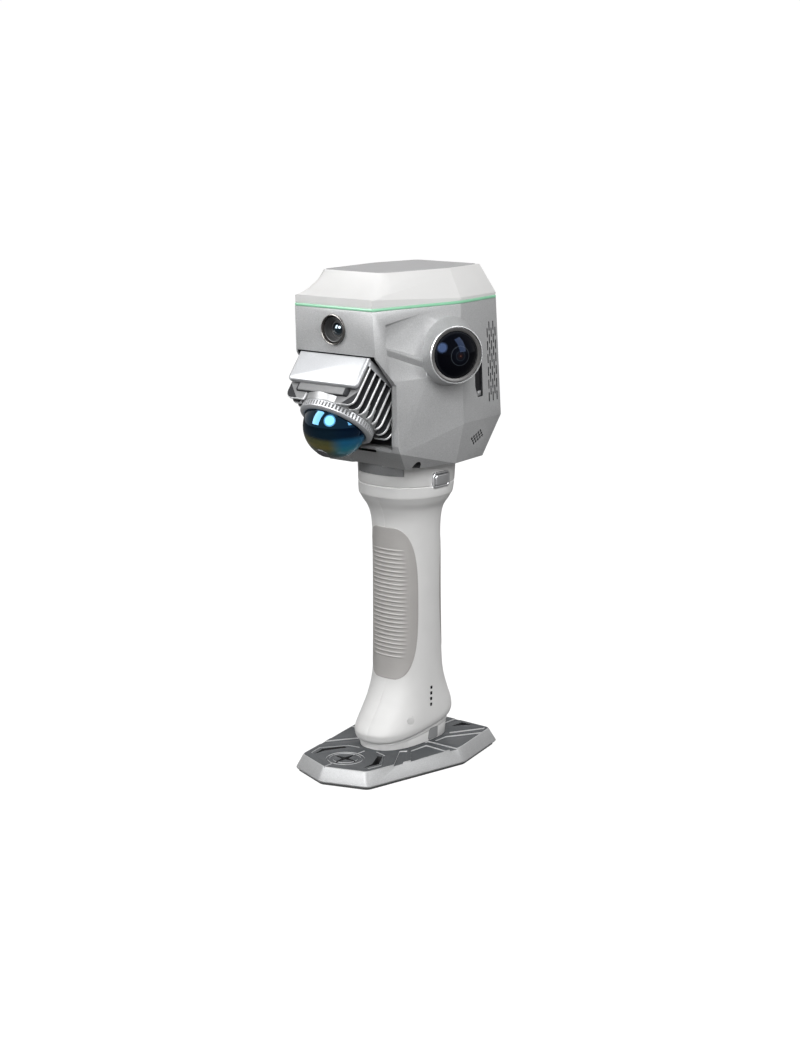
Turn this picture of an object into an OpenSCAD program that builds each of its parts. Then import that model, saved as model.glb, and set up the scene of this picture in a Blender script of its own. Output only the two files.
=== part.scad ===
// Handheld lidar scanner on a battery handle and a base plate.
// Millimetres. +Z is up, the front (lidar side) is -Y, and Z = 0 is the floor.
// The handle axis is X = 0, Y = 0, and the object is symmetric about X = 0.

/* [Base plate] */
// Front tip of the plate, ahead of the handle axis
plate_front = 99.5; // [92:0.5:108]
// Width across the front shoulders
plate_shoulder_w = 72.8; // [64:0.4:80]
// Front shoulders, ahead of the handle axis
plate_shoulder_y = 86.6; // [80:0.2:90]
// Width across the widest corners
plate_side_w = 110.6; // [104:0.2:124]
// Widest corners, behind the handle axis
plate_side_y = 5.1; // [0:0.1:14]
// Width of the straight rear edge
plate_rear_w = 84.6; // [76:0.2:92]
// Rear edge, behind the handle axis
plate_rear_y = 62.7; // [58:0.1:72]
// Height of the plate's top face
plate_h = 13; // [11:0.5:18]
// How far the sloped sides lean in
plate_lean = 5; // [3:0.25:6]
// Plan radius of the plate's corners
plate_r = 6; // [3:0.5:8]
// Thickness of the plate's top wall
plate_wall = 4; // [3:0.25:6]
// Thickness of the rubber sheet under the plate
rubber_t = 1.2; // [1:0.1:2]
// Depth of the pockets and lines milled into the top
relief_d = 1; // [0.4:0.1:1.5]
// Radius of the ring line round the star cut-out
star_ring_r = 14.5; // [13:0.25:16]
// Reach of each point of the star cut-out
star_r = 13; // [9:0.5:13.5]
// Star cut-out, ahead of the handle axis
star_y = 70.5; // [68:0.5:72]
// Tapping radius of the tripod thread in the underside
thread_r = 2.55; // [2:0.05:3.2]
// Depth of the tripod thread
thread_len = 9; // [7:0.5:10.5]

/* [Handle] */
// Width of the handle where it is held
grip_w = 48; // [44:0.5:52]
// Front of the handle, ahead of its axis
grip_front = 23; // [21:0.5:25]
// Back of the handle, behind its axis
grip_rear = 28.2; // [26:0.2:31]
// Width of the flared foot
foot_w = 54; // [52:0.5:58]
// Front of the flared foot, ahead of the axis
foot_front = 46; // [43:0.5:49]
// Back of the flared foot, behind the axis
foot_rear = 36.2; // [34:0.2:39]
// Height on the axis where the flared shells meet the lower band
seam_z = 24.7; // [23:0.1:27]
// Rise of that seam per millimetre towards the back
seam_rise = 0.15; // [0.1:0.01:0.18]
// Width of the collar under the head
collar_w = 69.2; // [66:0.2:72]
// Height of the collar's lower edge
collar_z = 206; // [203:0.5:209]
// Wall of the handle shells
shell_wall = 2.4; // [2:0.1:2.8]
// Gap between pieces that seat in one another
seat_gap = 0.15; // [0.1:0.05:0.25]
// Depth of the grip pads in the shells
pad_t = 1.2; // [0.8:0.1:1.5]
// Lower end of the front pad
front_pad_z0 = 65; // [62:0.5:70]
// Upper end of the front pad
front_pad_z1 = 183; // [176:0.5:186]
// How far round the handle the front pad reaches, each way
front_pad_angle = 66; // [55:1:70]
// Lower end of the rear pad
rear_pad_z0 = 78; // [74:0.5:84]
// Upper end of the rear pad
rear_pad_z1 = 178; // [170:0.5:182]
// How far round the handle the rear pad reaches, each way
rear_pad_angle = 64; // [54:1:66]
// Ribs across the front pad
pad_ribs = 26; // [20:1:30]
// Pitch of those ribs
pad_rib_pitch = 3.3; // [3:0.1:3.6]
// Diameter of one battery cell
cell_d = 18.3; // [17.8:0.1:18.6]
// Length of one battery cell
cell_len = 65; // [63:0.5:66]
// Height of the lower cells' lower ends
cell_z = 60; // [59:0.5:61]

/* [Controls on the handle] */
// Height of the head release buttons
release_z = 219.5; // [217.5:0.5:221]
// Width of the release button's cap
release_w = 15; // [12:0.5:16]
// Height of the release button's cap
release_h = 8; // [6:0.5:8.5]
// Travel of the release buttons
release_travel = 2; // [1:0.1:2.2]
// Radius of the battery check button
check_r = 3; // [2.5:0.1:3.5]
// Travel of the battery check button
check_travel = 0.6; // [0.4:0.1:0.8]
// Radius of one charge light
led_r = 0.75; // [0.5:0.05:1]
// Pitch of the four charge lights
led_pitch = 4.3; // [3.6:0.1:4.6]
// Width of the charging port cover
port_w = 11; // [9.5:0.25:12]
// Height of the charging port cover
port_h = 9; // [7.5:0.25:9]

/* [Head] */
// Height of the head's lower face, where it meets the collar
head_z0 = 233; // [231:0.5:235]
// Height of the head's upper rim, under the light band
head_z1 = 350; // [348:0.5:353]
// Width of the front face
head_front_w = 73; // [70:0.5:75]
// Front face, ahead of the handle axis
head_front_y = 80.8; // [79.5:0.1:82]
// Width across the side creases at the rim
head_side_w = 94.4; // [90:0.2:96]
// Side creases, behind the handle axis
head_side_y = 6; // [2:0.5:10]
// Width of the rear face at the rim
head_rear_w = 78.8; // [74:0.2:82]
// Rear face, behind the handle axis
head_rear_y = 58.5; // [56:0.5:61]
// Height where the lower facets begin
crease_z = 262; // [259:0.5:265]
// How far the side creases flare out down to there, each side
head_flare = 3.5; // [2:0.25:4.5]
// Wall of the head shell
head_wall = 3; // [2.5:0.1:3.2]
// Soft radius of the head's upright corners
head_r = 3; // [2:0.25:4]
// Height of the light band
band_h = 2.2; // [1.6:0.1:3]
// Overall height, to the crown of the top panel
total_h = 375.6; // [372:0.2:379]
// Height of the upright lip above the light band
lip_h = 6; // [4:0.25:7]
// Width of the top panel's front edge
top_front_w = 57; // [52:0.5:61]
// Front edge of the top panel, ahead of the axis
top_front_y = 61; // [58:0.5:64]
// Width of the top panel at the side creases
top_side_w = 73; // [68:0.5:78]
// Width of the top panel's rear edge
top_rear_w = 60; // [56:0.5:64]
// Rear edge of the top panel, behind the axis
top_rear_y = 50; // [46:0.5:53]
// Width of one vent slot
vent_w = 1.3; // [1:0.1:1.6]
// Length of one vent slot
vent_l = 7; // [6:0.25:7.5]
// Pitch between vent columns
vent_pitch = 3; // [2.8:0.1:3.1]
// Pitch between vent slots in a column
vent_row_pitch = 9.6; // [9.2:0.1:10]

/* [Lidar] */
// Width and depth of the lidar module, a standard size
lidar_w = 65; // [65:0.5:65]
// Length of the module from its mounting plane to the dome's tip
lidar_len = 64.3; // [62:0.1:66]
// Lean of the module's axis, forward from straight down
lidar_tilt = 37.3; // [34:0.1:40]
// Height of the centre of the mounting plane
lidar_z = 298.6; // [297:0.1:300]
// Centre of the mounting plane, ahead of the axis
lidar_y = 54.2; // [53:0.1:56]
// Length of the bare plate on the module's front
label_len = 24.2; // [20:0.2:26]
// Pitch of the cooling fins
fin_pitch = 7; // [6.6:0.1:7.4]
// Number of cooling fins on each side
fin_count = 8; // [6:1:8]
// Thickness of one fin
fin_t = 1.9; // [1.5:0.1:2.6]
// How far the fins stand out from the core
fin_reach = 8; // [5:0.25:9]
// Outer radius of the knurled ring
ring_r = 28; // [26.5:0.1:29]
// Outer radius of the dome
dome_r = 23.3; // [22:0.1:24.5]
// Wall of the dome
dome_wall = 2; // [1.5:0.1:2.5]

/* [Cameras] */
// Outer radius of the side camera bosses
side_cam_r = 20.8; // [19.5:0.1:22]
// Radius of the side camera's glass
side_glass_r = 16.8; // [15:0.1:17.5]
// Direction that a side camera looks in, degrees from straight ahead
side_cam_angle = 64; // [60:0.5:68]
// Sideways place of the centre of a side camera's rim
side_cam_x = 63; // [61:0.25:65]
// The same centre, ahead of the handle axis
side_cam_y = 18.4; // [17:0.1:20]
// Height of the same centre
side_cam_z = 316.2; // [313:0.1:318]
// Outer radius of the front camera's bezel
front_cam_r = 11; // [9.5:0.1:12]
// Height of the front camera
front_cam_z = 335.3; // [334:0.1:337]

/* [Hidden] */

$fn = 48;
// Thickness of the thin slices that a hull joins
skin = 0.02;
// Overlap that makes a cut run clean through
cut = 1;
// Space that a fixed piece keeps from one that moves past it
run_gap = 0.3;
// Points round a handle section
ring_points = 36;

// Direction of a vector, with length 1
function unit(v) = v / norm(v);

// Outline with every edge moved inwards by d; the outline runs anticlockwise
function inset(pts, d) = [
  for (i = [0 : len(pts) - 1])
    let (
      a = pts[(i + len(pts) - 1) % len(pts)],
      b = pts[i],
      c = pts[(i + 1) % len(pts)],
      u = unit(b - a),
      v = unit(c - b),
      n1 = [-u[1], u[0]],
      n2 = [-v[1], v[0]]
    )
    b + d * (n1 + n2) / (1 + n1 * n2)
];

// Full outline from its right half, listed from front to back
function both_sides(right) = concat(
  right,
  [for (i = [len(right) - 1 : -1 : 0]) if (right[i][0] > 0) [-right[i][0], right[i][1]]]
);

// Thin slice of an outline with round corners, for a hull
module slice(pts, z, r) {
  for (p = inset(pts, r)) {
    translate([p[0], p[1], z])
      cylinder(r = r, h = skin, $fn = 28);
  }
}

// Upright block with round corners between two heights
module block(pts, z0, z1, r) {
  hull() {
    for (p = inset(pts, r)) {
      translate([p[0], p[1], z0])
        cylinder(r = r, h = z1 - z0, $fn = 28);
    }
  }
}

// Child drawn on both sides of the plane X = 0
module pair() {
  children();
  mirror([1, 0, 0])
    children();
}

// Box centred in X and Y that rises from z = 0
module bar(size) {
  translate([-size[0] / 2, -size[1] / 2, 0])
    cube(size);
}

// Base plate outlines
plate_outline = both_sides([
  [0, -plate_front],
  [plate_shoulder_w / 2, -plate_shoulder_y],
  [plate_side_w / 2, plate_side_y],
  [plate_rear_w / 2, plate_rear_y]
]);
plate_top_outline = inset(plate_outline, plate_lean);
// Screws that hold the handle on the plate, seen from the handle axis
base_screw_spots = [[13, -24], [-13, -24], [13, 19], [-13, 19]];
base_screw_r = 2;
base_head_r = 3.6;
base_head_h = 2.4;
boss_r = 5.5;
insert_r = 5;

// Places of the relief in the plate's top, all on its right half
line_w = 1;
slot_shape = [[15.3, -51.2], [18.9, -49.6], [27.8, -64.5], [24.6, -78], [23.6, -67]];
rib_band = [[20.5, -31.5], [24.4, -27], [39.6, -50.5], [37.6, -59]];
side_pocket = [[25, -25], [26, -6.5], [47.5, -7.8], [40.5, -45]];
rear_pocket = [[25, 4], [25, 19], [41, 46], [48.5, 8]];
side_band = [[22, -4], [22, 0.8], [51, 1.6], [50, -5.2]];
tail_hole = [[13.4, 41], [14, 53.5], [23.6, 53.5]];
tail_band = [[4.5, 40], [4.5, 59], [9.5, 59], [9.5, 40]];
slot_line = [[10, -45.5], [17.5, -47.5], [30.2, -64.6], [27.4, -76]];

// Line of width line_w through a list of points
module trace(points) {
  for (i = [0 : len(points) - 2]) {
    a = points[i];
    d = points[i + 1] - a;
    translate([a[0], a[1], 0])
      rotate([0, 0, atan2(d[1], d[0])])
        translate([0, -line_w / 2, 0])
          cube([norm(d), line_w, relief_d + cut]);
  }
}

module plate_relief() {
  translate([0, 0, plate_h - relief_d]) {
    pair() {
      for (shape = [rib_band, side_pocket, rear_pocket, side_band, tail_band]) {
        linear_extrude(relief_d + cut)
          polygon(shape);
      }
      trace(slot_line);
    }
    translate([0, -star_y, 0])
      difference() {
        cylinder(r = star_ring_r, h = relief_d + cut);
        translate([0, 0, -cut])
          cylinder(r = star_ring_r - line_w, h = relief_d + 3 * cut);
      }
    trace([[0, -plate_front], [0, -star_y - star_ring_r + line_w / 2]]);
    trace([[0, -star_y + star_ring_r - line_w / 2], [0, -foot_front - 3]]);
  }
}

// Inset of the rubber sheet from the plate's edge
rubber_inset = 2;
// Height of the small bevel along the plate's lower edge
edge_bevel = 1.4;
// Tripod thread, ahead of the handle axis
thread_y = 13;

// Four-pointed star, slots and tail holes, right through the top wall
module plate_cutouts() {
  waist = star_r * 0.2;
  translate([0, -star_y, plate_h - plate_wall - cut])
    linear_extrude(plate_wall + 2 * cut)
      polygon([for (i = [0 : 7]) (i % 2 == 0 ? star_r : waist) * [cos(45 * i), sin(45 * i)]]);
  translate([0, 0, plate_h - plate_wall - cut])
    pair()
      for (shape = [slot_shape, tail_hole]) {
        linear_extrude(plate_wall + 2 * cut)
          polygon(shape);
      }
}

module base_plate() {
  color([0.72, 0.73, 0.74])
    difference() {
      union() {
        difference() {
          hull() {
            slice(inset(plate_outline, edge_bevel), rubber_t, plate_r);
            slice(plate_outline, rubber_t + edge_bevel, plate_r);
            slice(plate_top_outline, plate_h - skin, plate_r);
          }
          block(inset(plate_outline, plate_lean + 4), rubber_t - cut, plate_h - plate_wall, plate_r);
        }
        translate([0, 0, rubber_t]) {
          translate([0, -thread_y, 0])
            cylinder(r = insert_r + 3, h = plate_h - rubber_t - cut);
          for (p = base_screw_spots) {
            translate([p[0], p[1], 0])
              cylinder(r = boss_r, h = plate_h - rubber_t - cut);
          }
        }
      }
      translate([0, -thread_y, -cut])
        cylinder(r = insert_r, h = thread_len + cut);
      for (p = base_screw_spots) {
        translate([p[0], p[1], 0])
          cylinder(r = base_screw_r + seat_gap, h = plate_h + cut);
        translate([p[0], p[1], 0])
          cylinder(r = base_head_r + seat_gap, h = rubber_t + base_head_h);
      }
      plate_relief();
      plate_cutouts();
    }
}

module rubber_foot() {
  color([0.25, 0.25, 0.26])
    difference() {
      block(inset(plate_outline, rubber_inset), 0, rubber_t, plate_r);
      translate([0, -thread_y, -cut])
        cylinder(r = insert_r, h = rubber_t + 2 * cut);
      for (p = base_screw_spots) {
        translate([p[0], p[1], -cut])
          cylinder(r = base_head_r + seat_gap, h = rubber_t + 2 * cut);
      }
    }
}

module tripod_insert() {
  color([0.8, 0.65, 0.3])
    translate([0, -thread_y, 0])
      difference() {
        cylinder(r = insert_r, h = thread_len);
        translate([0, 0, -cut])
          cylinder(r = thread_r, h = thread_len + 2 * cut);
      }
}

// Screws from below, through the plate into the foot band
module base_screws() {
  color([0.35, 0.35, 0.37])
    for (p = base_screw_spots) {
      translate([p[0], p[1], rubber_t])
        difference() {
          union() {
            cylinder(r = base_head_r, h = base_head_h);
            cylinder(r = base_screw_r, h = plate_h - rubber_t + 5);
          }
          translate([0, 0, -cut])
            cylinder(r = 1.4, h = cut + 1.4, $fn = 6);
        }
    }
}

// One section of the handle: half width, front and rear reach, and how square each half is.
// Its plane rises towards the back by the slope.
function section(z, slope, a, front, rear, front_n, rear_n) = [
  for (i = [0 : ring_points - 1])
    let (
      t = 360 * i / ring_points - 90,
      n = sin(t) < 0 ? front_n : rear_n,
      reach = sin(t) < 0 ? front : rear,
      x = a * sign(cos(t)) * pow(abs(cos(t)), 2 / n),
      y = reach * sign(sin(t)) * pow(abs(sin(t)), 2 / n)
    )
    [x, y, z + slope * y]
];

// Stations of the handle: z, slope, half width, front, rear, front and rear squareness
handle_stations = [
  [seam_z, seam_rise, foot_w / 2 - 3, foot_front - 2.6, foot_rear - 1.9, 2.6, 3.2],
  [seam_z + 1.6, seam_rise, foot_w / 2 - 1.2, foot_front - 1, foot_rear - 0.9, 2.6, 3.3],
  [seam_z + 4.6, seam_rise, foot_w / 2 - 0.2, foot_front - 0.2, foot_rear - 0.2, 2.6, 3.4],
  [seam_z + 8, seam_rise * 0.93, foot_w / 2, foot_front - 0.6, foot_rear, 2.6, 3.4],
  [seam_z + 15, seam_rise * 0.75, foot_w / 2 - 0.5, foot_front - 6.5, foot_rear - 0.4, 2.5, 3.2],
  [seam_z + 25, seam_rise * 0.5, (foot_w + grip_w) / 4, grip_front + 8, (foot_rear + grip_rear * 2) / 3 + 2, 2.4, 3],
  [seam_z + 38, seam_rise * 0.2, grip_w / 2 + 0.8, grip_front + 1.6, grip_rear + 2, 2.3, 2.6],
  [seam_z + 54, 0, grip_w / 2 + 0.3, grip_front, grip_rear + 0.8, 2.3, 2.4],
  [seam_z + 96, 0, grip_w / 2, grip_front, grip_rear, 2.3, 2.3],
  [collar_z - 48, 0, grip_w / 2, grip_front + 0.3, grip_rear - 0.6, 2.3, 2.3],
  [collar_z - 29, 0, grip_w / 2 + 0.2, grip_front + 1, grip_rear - 1.4, 2.3, 2.3],
  [collar_z - 18, 0, grip_w / 2 + 1, grip_front + 2, grip_rear - 1, 2.3, 2.3],
  [collar_z - 10, 0, collar_w / 2 - 7.5, grip_front + 4.6, grip_rear + 0.2, 2.3, 2.3],
  [collar_z - 4, 0, collar_w / 2 - 3.6, grip_front + 8, grip_rear + 3.2, 2.3, 2.3],
  [collar_z, 0, collar_w / 2 - 1.4, grip_front + 10.2, grip_rear + 5.4, 2.3, 2.3]
];

// Point on a smooth curve from b to c, whose neighbours are a and d
function smooth(a, b, c, d, u) = b + 0.5 * u * ((c - a) + u * ((2 * a - 5 * b + 4 * c - d)
  + u * (3 * (b - c) + d - a)));

// Stations with extra ones put between them
function refine(list, steps) = [
  for (i = [0 : len(list) - 2], k = [0 : steps - 1])
    smooth(list[max(i - 1, 0)], list[i], list[i + 1], list[min(i + 2, len(list) - 1)], k / steps),
  list[len(list) - 1]
];

// Section rings for a list of stations, moved inwards by d
function rings(list, d) = [
  for (s = list) section(s[0], s[1], s[2] - d, s[3] - d, s[4] - d, s[5], s[6])
];

// Right halves of a wall between those rings and the rings a distance d inside them
function half_wall(list, d) =
  let (outer = rings(list, 0), inner = rings(list, d), back = ring_points / 2)
  [
    for (k = [0 : len(list) - 1])
      concat(
        [for (i = [0 : back]) [i % back == 0 ? 0 : outer[k][i][0], outer[k][i][1], outer[k][i][2]]],
        [for (i = [back : -1 : 0]) [i % back == 0 ? 0 : inner[k][i][0], inner[k][i][1], inner[k][i][2]]]
      )
  ];

// Solid through rings that have equal point counts and run upwards.
// Its ends are strips between the two halves of a ring, so a crescent closes as well as an oval.
module loft(list) {
  n = len(list[0]);
  last = (len(list) - 1) * n;
  polyhedron(
    points = [for (ring = list) each ring],
    faces = concat(
      [for (j = [0 : ceil(n / 2) - 2]) [j, j + 1, n - 1 - j]],
      [for (j = [0 : floor(n / 2) - 2]) [j + 1, n - 2 - j, n - 1 - j]],
      [for (j = [0 : ceil(n / 2) - 2]) [last + j, last + n - 1 - j, last + j + 1]],
      [for (j = [0 : floor(n / 2) - 2]) [last + j + 1, last + n - 1 - j, last + n - 2 - j]],
      [
        for (i = [0 : len(list) - 2], j = [0 : n - 1], half = [0, 1])
          let (a = i * n + j, b = i * n + (j + 1) % n, c = a + n, d = b + n)
          half == 0 ? [a, c, d] : [a, d, b]
      ]
    )
  );
}

// Station of the handle at height z between its seam and the collar
function station_at(z) =
  let (
    list = handle_stations,
    i = max([for (k = [0 : len(list) - 2]) if (list[k][0] <= z) k])
  )
  smooth(list[max(i - 1, 0)], list[i], list[i + 1], list[min(i + 2, len(list) - 1)],
    (z - list[i][0]) / (list[i + 1][0] - list[i][0]));

// Point of the handle's outer face at an angle from the front (0) or the rear (180)
function face_point(z, angle, out) =
  let (
    s = station_at(z),
    t = angle - 90,
    n = sin(t) < 0 ? s[5] : s[6],
    reach = (sin(t) < 0 ? s[3] : s[4]) + out,
    x = (s[2] + out) * sign(cos(t)) * pow(abs(cos(t)), 2 / n),
    y = reach * sign(sin(t)) * pow(abs(sin(t)), 2 / n)
  )
  [x, y, z + s[1] * y];

// Pad on the handle's face: centre angle, half angle, ends, and how far in and out it reaches
module face_pad(centre, half, z0, z1, inner, outer) {
  rows = 14;
  pad_rows(centre, half, z0, z1, inner, [for (i = [0 : rows]) [-cos(180 * i / rows), outer]]);
}

// The same pad from rows of [height from -1 to 1, outward reach]
module pad_rows(centre, half, z0, z1, inner, rows) {
  cols = 8;
  mid = (z0 + z1) / 2;
  tall = (z1 - z0) / 2;
  rib_end = 0.62;
  loft([
    for (g = rows)
      let (v = g[0] * 0.998, spread = half * pow(1 - pow(abs(v), 3.5), 1 / 3.5), z = mid + v * tall)
      concat(
        [
          for (j = [0 : cols])
            let (u = 2 * j / cols - 1)
            face_point(z, centre + spread * u, abs(u) < rib_end ? g[1] : rows[0][1])
        ],
        [for (j = [cols : -1 : 0]) face_point(z, centre + spread * (2 * j / cols - 1), inner)]
      )
  ]);
}

// Right half of the handle shell, with the pockets for both pads
module half_shell() {
  difference() {
    loft(half_wall(refine(handle_stations, 2), shell_wall));
    face_pad(0, front_pad_angle + 3 * seat_gap, front_pad_z0 - seat_gap, front_pad_z1 + seat_gap, -pad_t, 3);
    face_pad(180, rear_pad_angle + 3 * seat_gap, rear_pad_z0 - seat_gap, rear_pad_z1 + seat_gap, -pad_t, 3);
  }
}

// Lights and the battery check button look out of the right side
led_z = 43.5;
led_y = -0.5;
check_y = -20;
check_z = 38;
check_turn = 62;

// Place of a charge light's axis, on the handle's side
function led_spot(i) = [0, led_y + i * 0.5, led_z + i * led_pitch];

module handle_shell_right() {
  color([0.9, 0.9, 0.9])
    difference() {
      half_shell();
      for (i = [0 : 3]) {
        translate(led_spot(i))
          rotate([0, 90, 0])
            cylinder(r = led_r + 0.05, h = 40);
      }
      check_place(-12)
        cylinder(r = check_r + run_gap, h = 24);
    }
}

module handle_shell_left() {
  color([0.88, 0.88, 0.88])
    mirror([1, 0, 0])
      half_shell();
}

// Frame on the battery check button's axis, with Z pointing out of the handle
module check_place(depth) {
  p = face_point(check_z, check_turn, 0);
  translate(p)
    rotate([90, 0, check_turn])
      translate([0, 0, depth])
        children();
}

// Front pad, with its row of fine ribs
module front_grip() {
  tall = (front_pad_z1 - front_pad_z0) / 2;
  rib_rows = [
    for (i = [0 : 2 * pad_ribs])
      [(i - pad_ribs) * pad_rib_pitch / 2 / tall, i % 2 == 0 ? 0.1 : 0.6]
  ];
  end = rib_rows[0][0];
  low_rows = [for (i = [0 : 4]) [-cos(acos(-end) * i / 5), 0.1]];
  high_rows = [for (i = [4 : -1 : 0]) [cos(acos(-end) * i / 5), 0.1]];
  color([0.62, 0.6, 0.58])
    pad_rows(0, front_pad_angle, front_pad_z0, front_pad_z1, -pad_t + seat_gap,
      concat(low_rows, rib_rows, high_rows));
}

module rear_grip() {
  color([0.62, 0.6, 0.58])
    face_pad(180, rear_pad_angle, rear_pad_z0, rear_pad_z1, -pad_t + seat_gap, 0.1);
}

// Lower band of the handle: flat below, with the seam's slope above
band_top = [seam_z, seam_rise, foot_w / 2 - 3.4, foot_front - 3, foot_rear - 2.3, 2.6, 3.2];
band_low = [plate_h, 0, foot_w / 2 - 4.8, foot_front - 4, foot_rear - 3.6, 2.6, 3.2];
// Charging port cover: its height and its place along the band
port_y = 6.2;
port_z = plate_h + 1 + port_h / 2;
port_x = foot_w / 2 - 4.1;
port_t = 1.8;

// Floor of the band
band_floor = 3.5;

module foot_band() {
  color([0.86, 0.86, 0.86])
    difference() {
      loft(rings([band_low, band_top], 0));
      difference() {
        loft(rings([
          [plate_h + band_floor, 0, band_low[2], band_low[3], band_low[4], 2.6, 3.2],
          [seam_z + 8, seam_rise, band_top[2], band_top[3], band_top[4], 2.6, 3.2]
        ], shell_wall + 1));
        for (p = base_screw_spots) {
          translate([p[0], p[1], plate_h])
            cylinder(r = boss_r, h = 30);
        }
      }
      for (p = base_screw_spots) {
        translate([p[0], p[1], plate_h - cut])
          cylinder(r = base_screw_r + 0.05, h = 7 + cut);
      }
      translate([port_x - port_t - 6, port_y - port_w / 2 - run_gap, port_z - port_h / 2 - run_gap])
        cube([20, port_w + 2 * run_gap, port_h + 2 * run_gap]);
    }
}

// Cover over the charging port, hinged along its rear edge
module port_cover() {
  color([0.66, 0.67, 0.68])
    translate([port_x - port_t, port_y - port_w / 2, port_z - port_h / 2])
      cube([port_t, port_w, port_h]);
}

module charge_port() {
  color([0.5, 0.5, 0.52])
    translate([port_x - port_t - 8.2, port_y, plate_h + band_floor])
      difference() {
        translate([0, -4.6, 0])
          cube([7.9, 9.2, 3.4]);
        translate([0.8, -3.9, 0.6])
          cube([8, 7.8, 2.2]);
      }
}

// Collar under the head, with its front cut-out for the adapter
collar_rear = 38.6;
collar_stations = [
  [collar_z, 0, collar_w / 2 - 1.4, grip_front + 10.2, grip_rear + 5.4, 2.3, 2.3],
  [collar_z + 4, 0, collar_w / 2 - 0.5, grip_front + 10.8, grip_rear + 7.2, 2.3, 2.3],
  [collar_z + 9, 0, collar_w / 2 - 0.4, grip_front + 10.9, grip_rear + 8.6, 2.3, 2.3],
  [collar_z + 9.4, 0, collar_w / 2 - 0.9, grip_front + 10.4, grip_rear + 8.2, 2.3, 2.3],
  [collar_z + 9.8, 0, collar_w / 2 - 0.4, grip_front + 10.9, grip_rear + 8.7, 2.3, 2.3],
  [head_z0, 0, collar_w / 2, grip_front + 11.2, collar_rear, 2.3, 2.3]
];
collar_wall = 3;
notch_w = 44;
notch_z = head_z0 - 9.5;

module collar_section(station, d, z0, z1) {
  loft([
    section(z0, 0, station[2] - d, station[3] - d, station[4] - d, 2.3, 2.3),
    section(z1, 0, station[2] - d, station[3] - d, station[4] - d, 2.3, 2.3)
  ]);
}

module collar() {
  color([0.9, 0.9, 0.9])
    difference() {
      loft(rings(collar_stations, 0));
      collar_section(collar_stations[0], collar_wall, collar_z - cut, head_z0 + cut);
      translate([-notch_w / 2, -60, notch_z])
        cube([notch_w, 60, 20]);
      translate([0, 0, release_z])
        for (side = [-90, 90]) {
          rotate([0, side, 0])
            translate([-release_h / 2 - 2.2, -release_w / 2 - 2.2, 0])
              cube([release_h + 4.4, release_w + 4.4, 60]);
        }
    }
}

// Bezel and cap of a release button, with Z pointing out along +X
button_x = collar_w / 2 + 0.6;
button_bezel = 2;
// Depth of the pocket behind a button's cap
button_deep = release_travel + 2.9;
module release_place() {
  translate([button_x, 0, release_z])
    rotate([0, 90, 0])
      children();
}

module round_bar(h, w, z0, z1, r) {
  hull() {
    for (x = [-1, 1], y = [-1, 1]) {
      translate([x * (h / 2 - r), y * (w / 2 - r), z0])
        cylinder(r = r, h = z1 - z0, $fn = 24);
    }
  }
}

module release_bezels() {
  color([0.7, 0.7, 0.7])
    pair()
      release_place()
        difference() {
          round_bar(release_h + 2 * button_bezel, release_w + 2 * button_bezel, -button_deep - 1.4, 0, 3);
          translate([-release_h / 2 - run_gap, -release_w / 2 - run_gap, -button_deep])
            cube([release_h + 2 * run_gap, release_w + 2 * run_gap, 8]);
        }
}

module release_button() {
  release_place()
    translate([-release_h / 2, -release_w / 2, -button_deep + release_travel + 2 * run_gap])
      cube([release_h, release_w, button_deep - release_travel - 2 * run_gap + 0.8]);
}

module release_button_right() {
  color([0.8, 0.8, 0.81])
    release_button();
}

module release_button_left() {
  color([0.8, 0.8, 0.81])
    mirror([1, 0, 0])
      release_button();
}

// Flat return springs behind the release buttons
module release_springs() {
  color([0.75, 0.75, 0.77])
    pair()
      release_place()
        translate([-1.5, -3, -button_deep])
          cube([3, 6, run_gap - 0.05]);
}

// Battery cells, two side by side and two above them
cell_gap = 0.8;
cell_y = 2.5;
cell_spots = [
  for (side = [-1, 1], level = [0, 1])
    [side * (cell_d + cell_gap) / 2, cell_y, cell_z + level * (cell_len + 1.5)]
];

module battery_cells() {
  color([0.2, 0.45, 0.75])
    for (p = cell_spots) {
      translate(p)
        cylinder(d = cell_d, h = cell_len);
    }
}

// Frame that joins the cells at both ends and between them
module cell_frame() {
  color([0.2, 0.2, 0.22])
    difference() {
      for (z = [cell_z - 2, cell_z + cell_len - 2.25, cell_z + 2 * cell_len - 1.5]) {
        intersection() {
          collar_section(handle_stations[8], shell_wall + seat_gap, z, z + 6);
          translate([0, cell_y, z])
            bar([2 * cell_d + 6, cell_d + 3, 6]);
        }
      }
      for (p = cell_spots) {
        translate(p)
          cylinder(d = cell_d + 0.2, h = cell_len);
      }
    }
}

// Board with the charge lights, upright in the foot
board_t = 1.6;
board_x = 10;
board_low = seam_z + 18 * seam_rise + seat_gap;
module battery_board() {
  color([0.1, 0.35, 0.2])
    translate([board_x, -16, board_low])
      cube([board_t, 34, cell_z - 2.5 - board_low]);
}

module led_light_pipes() {
  color([0.1, 0.1, 0.1])
    for (i = [0 : 3]) {
      p = led_spot(i);
      start = board_x + board_t + seat_gap;
      translate([start, p[1], p[2]])
        rotate([0, 90, 0])
          cylinder(r = led_r, h = station_at(p[2])[2] - start);
    }
}

module battery_button() {
  color([0.8, 0.8, 0.8])
    check_place(0)
      translate([0, 0, -4])
        cylinder(r = check_r, h = 4.3);
}

// Contact block in the collar, with its row of spring pins
block_z = notch_z - 12;
module contact_block() {
  color([0.3, 0.3, 0.32])
    difference() {
      union() {
        collar_section(collar_stations[0], collar_wall + seat_gap, collar_z, block_z);
        for (i = [-3 : 3]) {
          translate([i * 4, 3, block_z])
            cylinder(r = 1, h = 1.4);
        }
      }
      for (x = [-1, 1]) {
        translate([x * 22, 0, collar_z - cut])
          cylinder(r = 1.6, h = 20);
      }
    }
}

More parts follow.
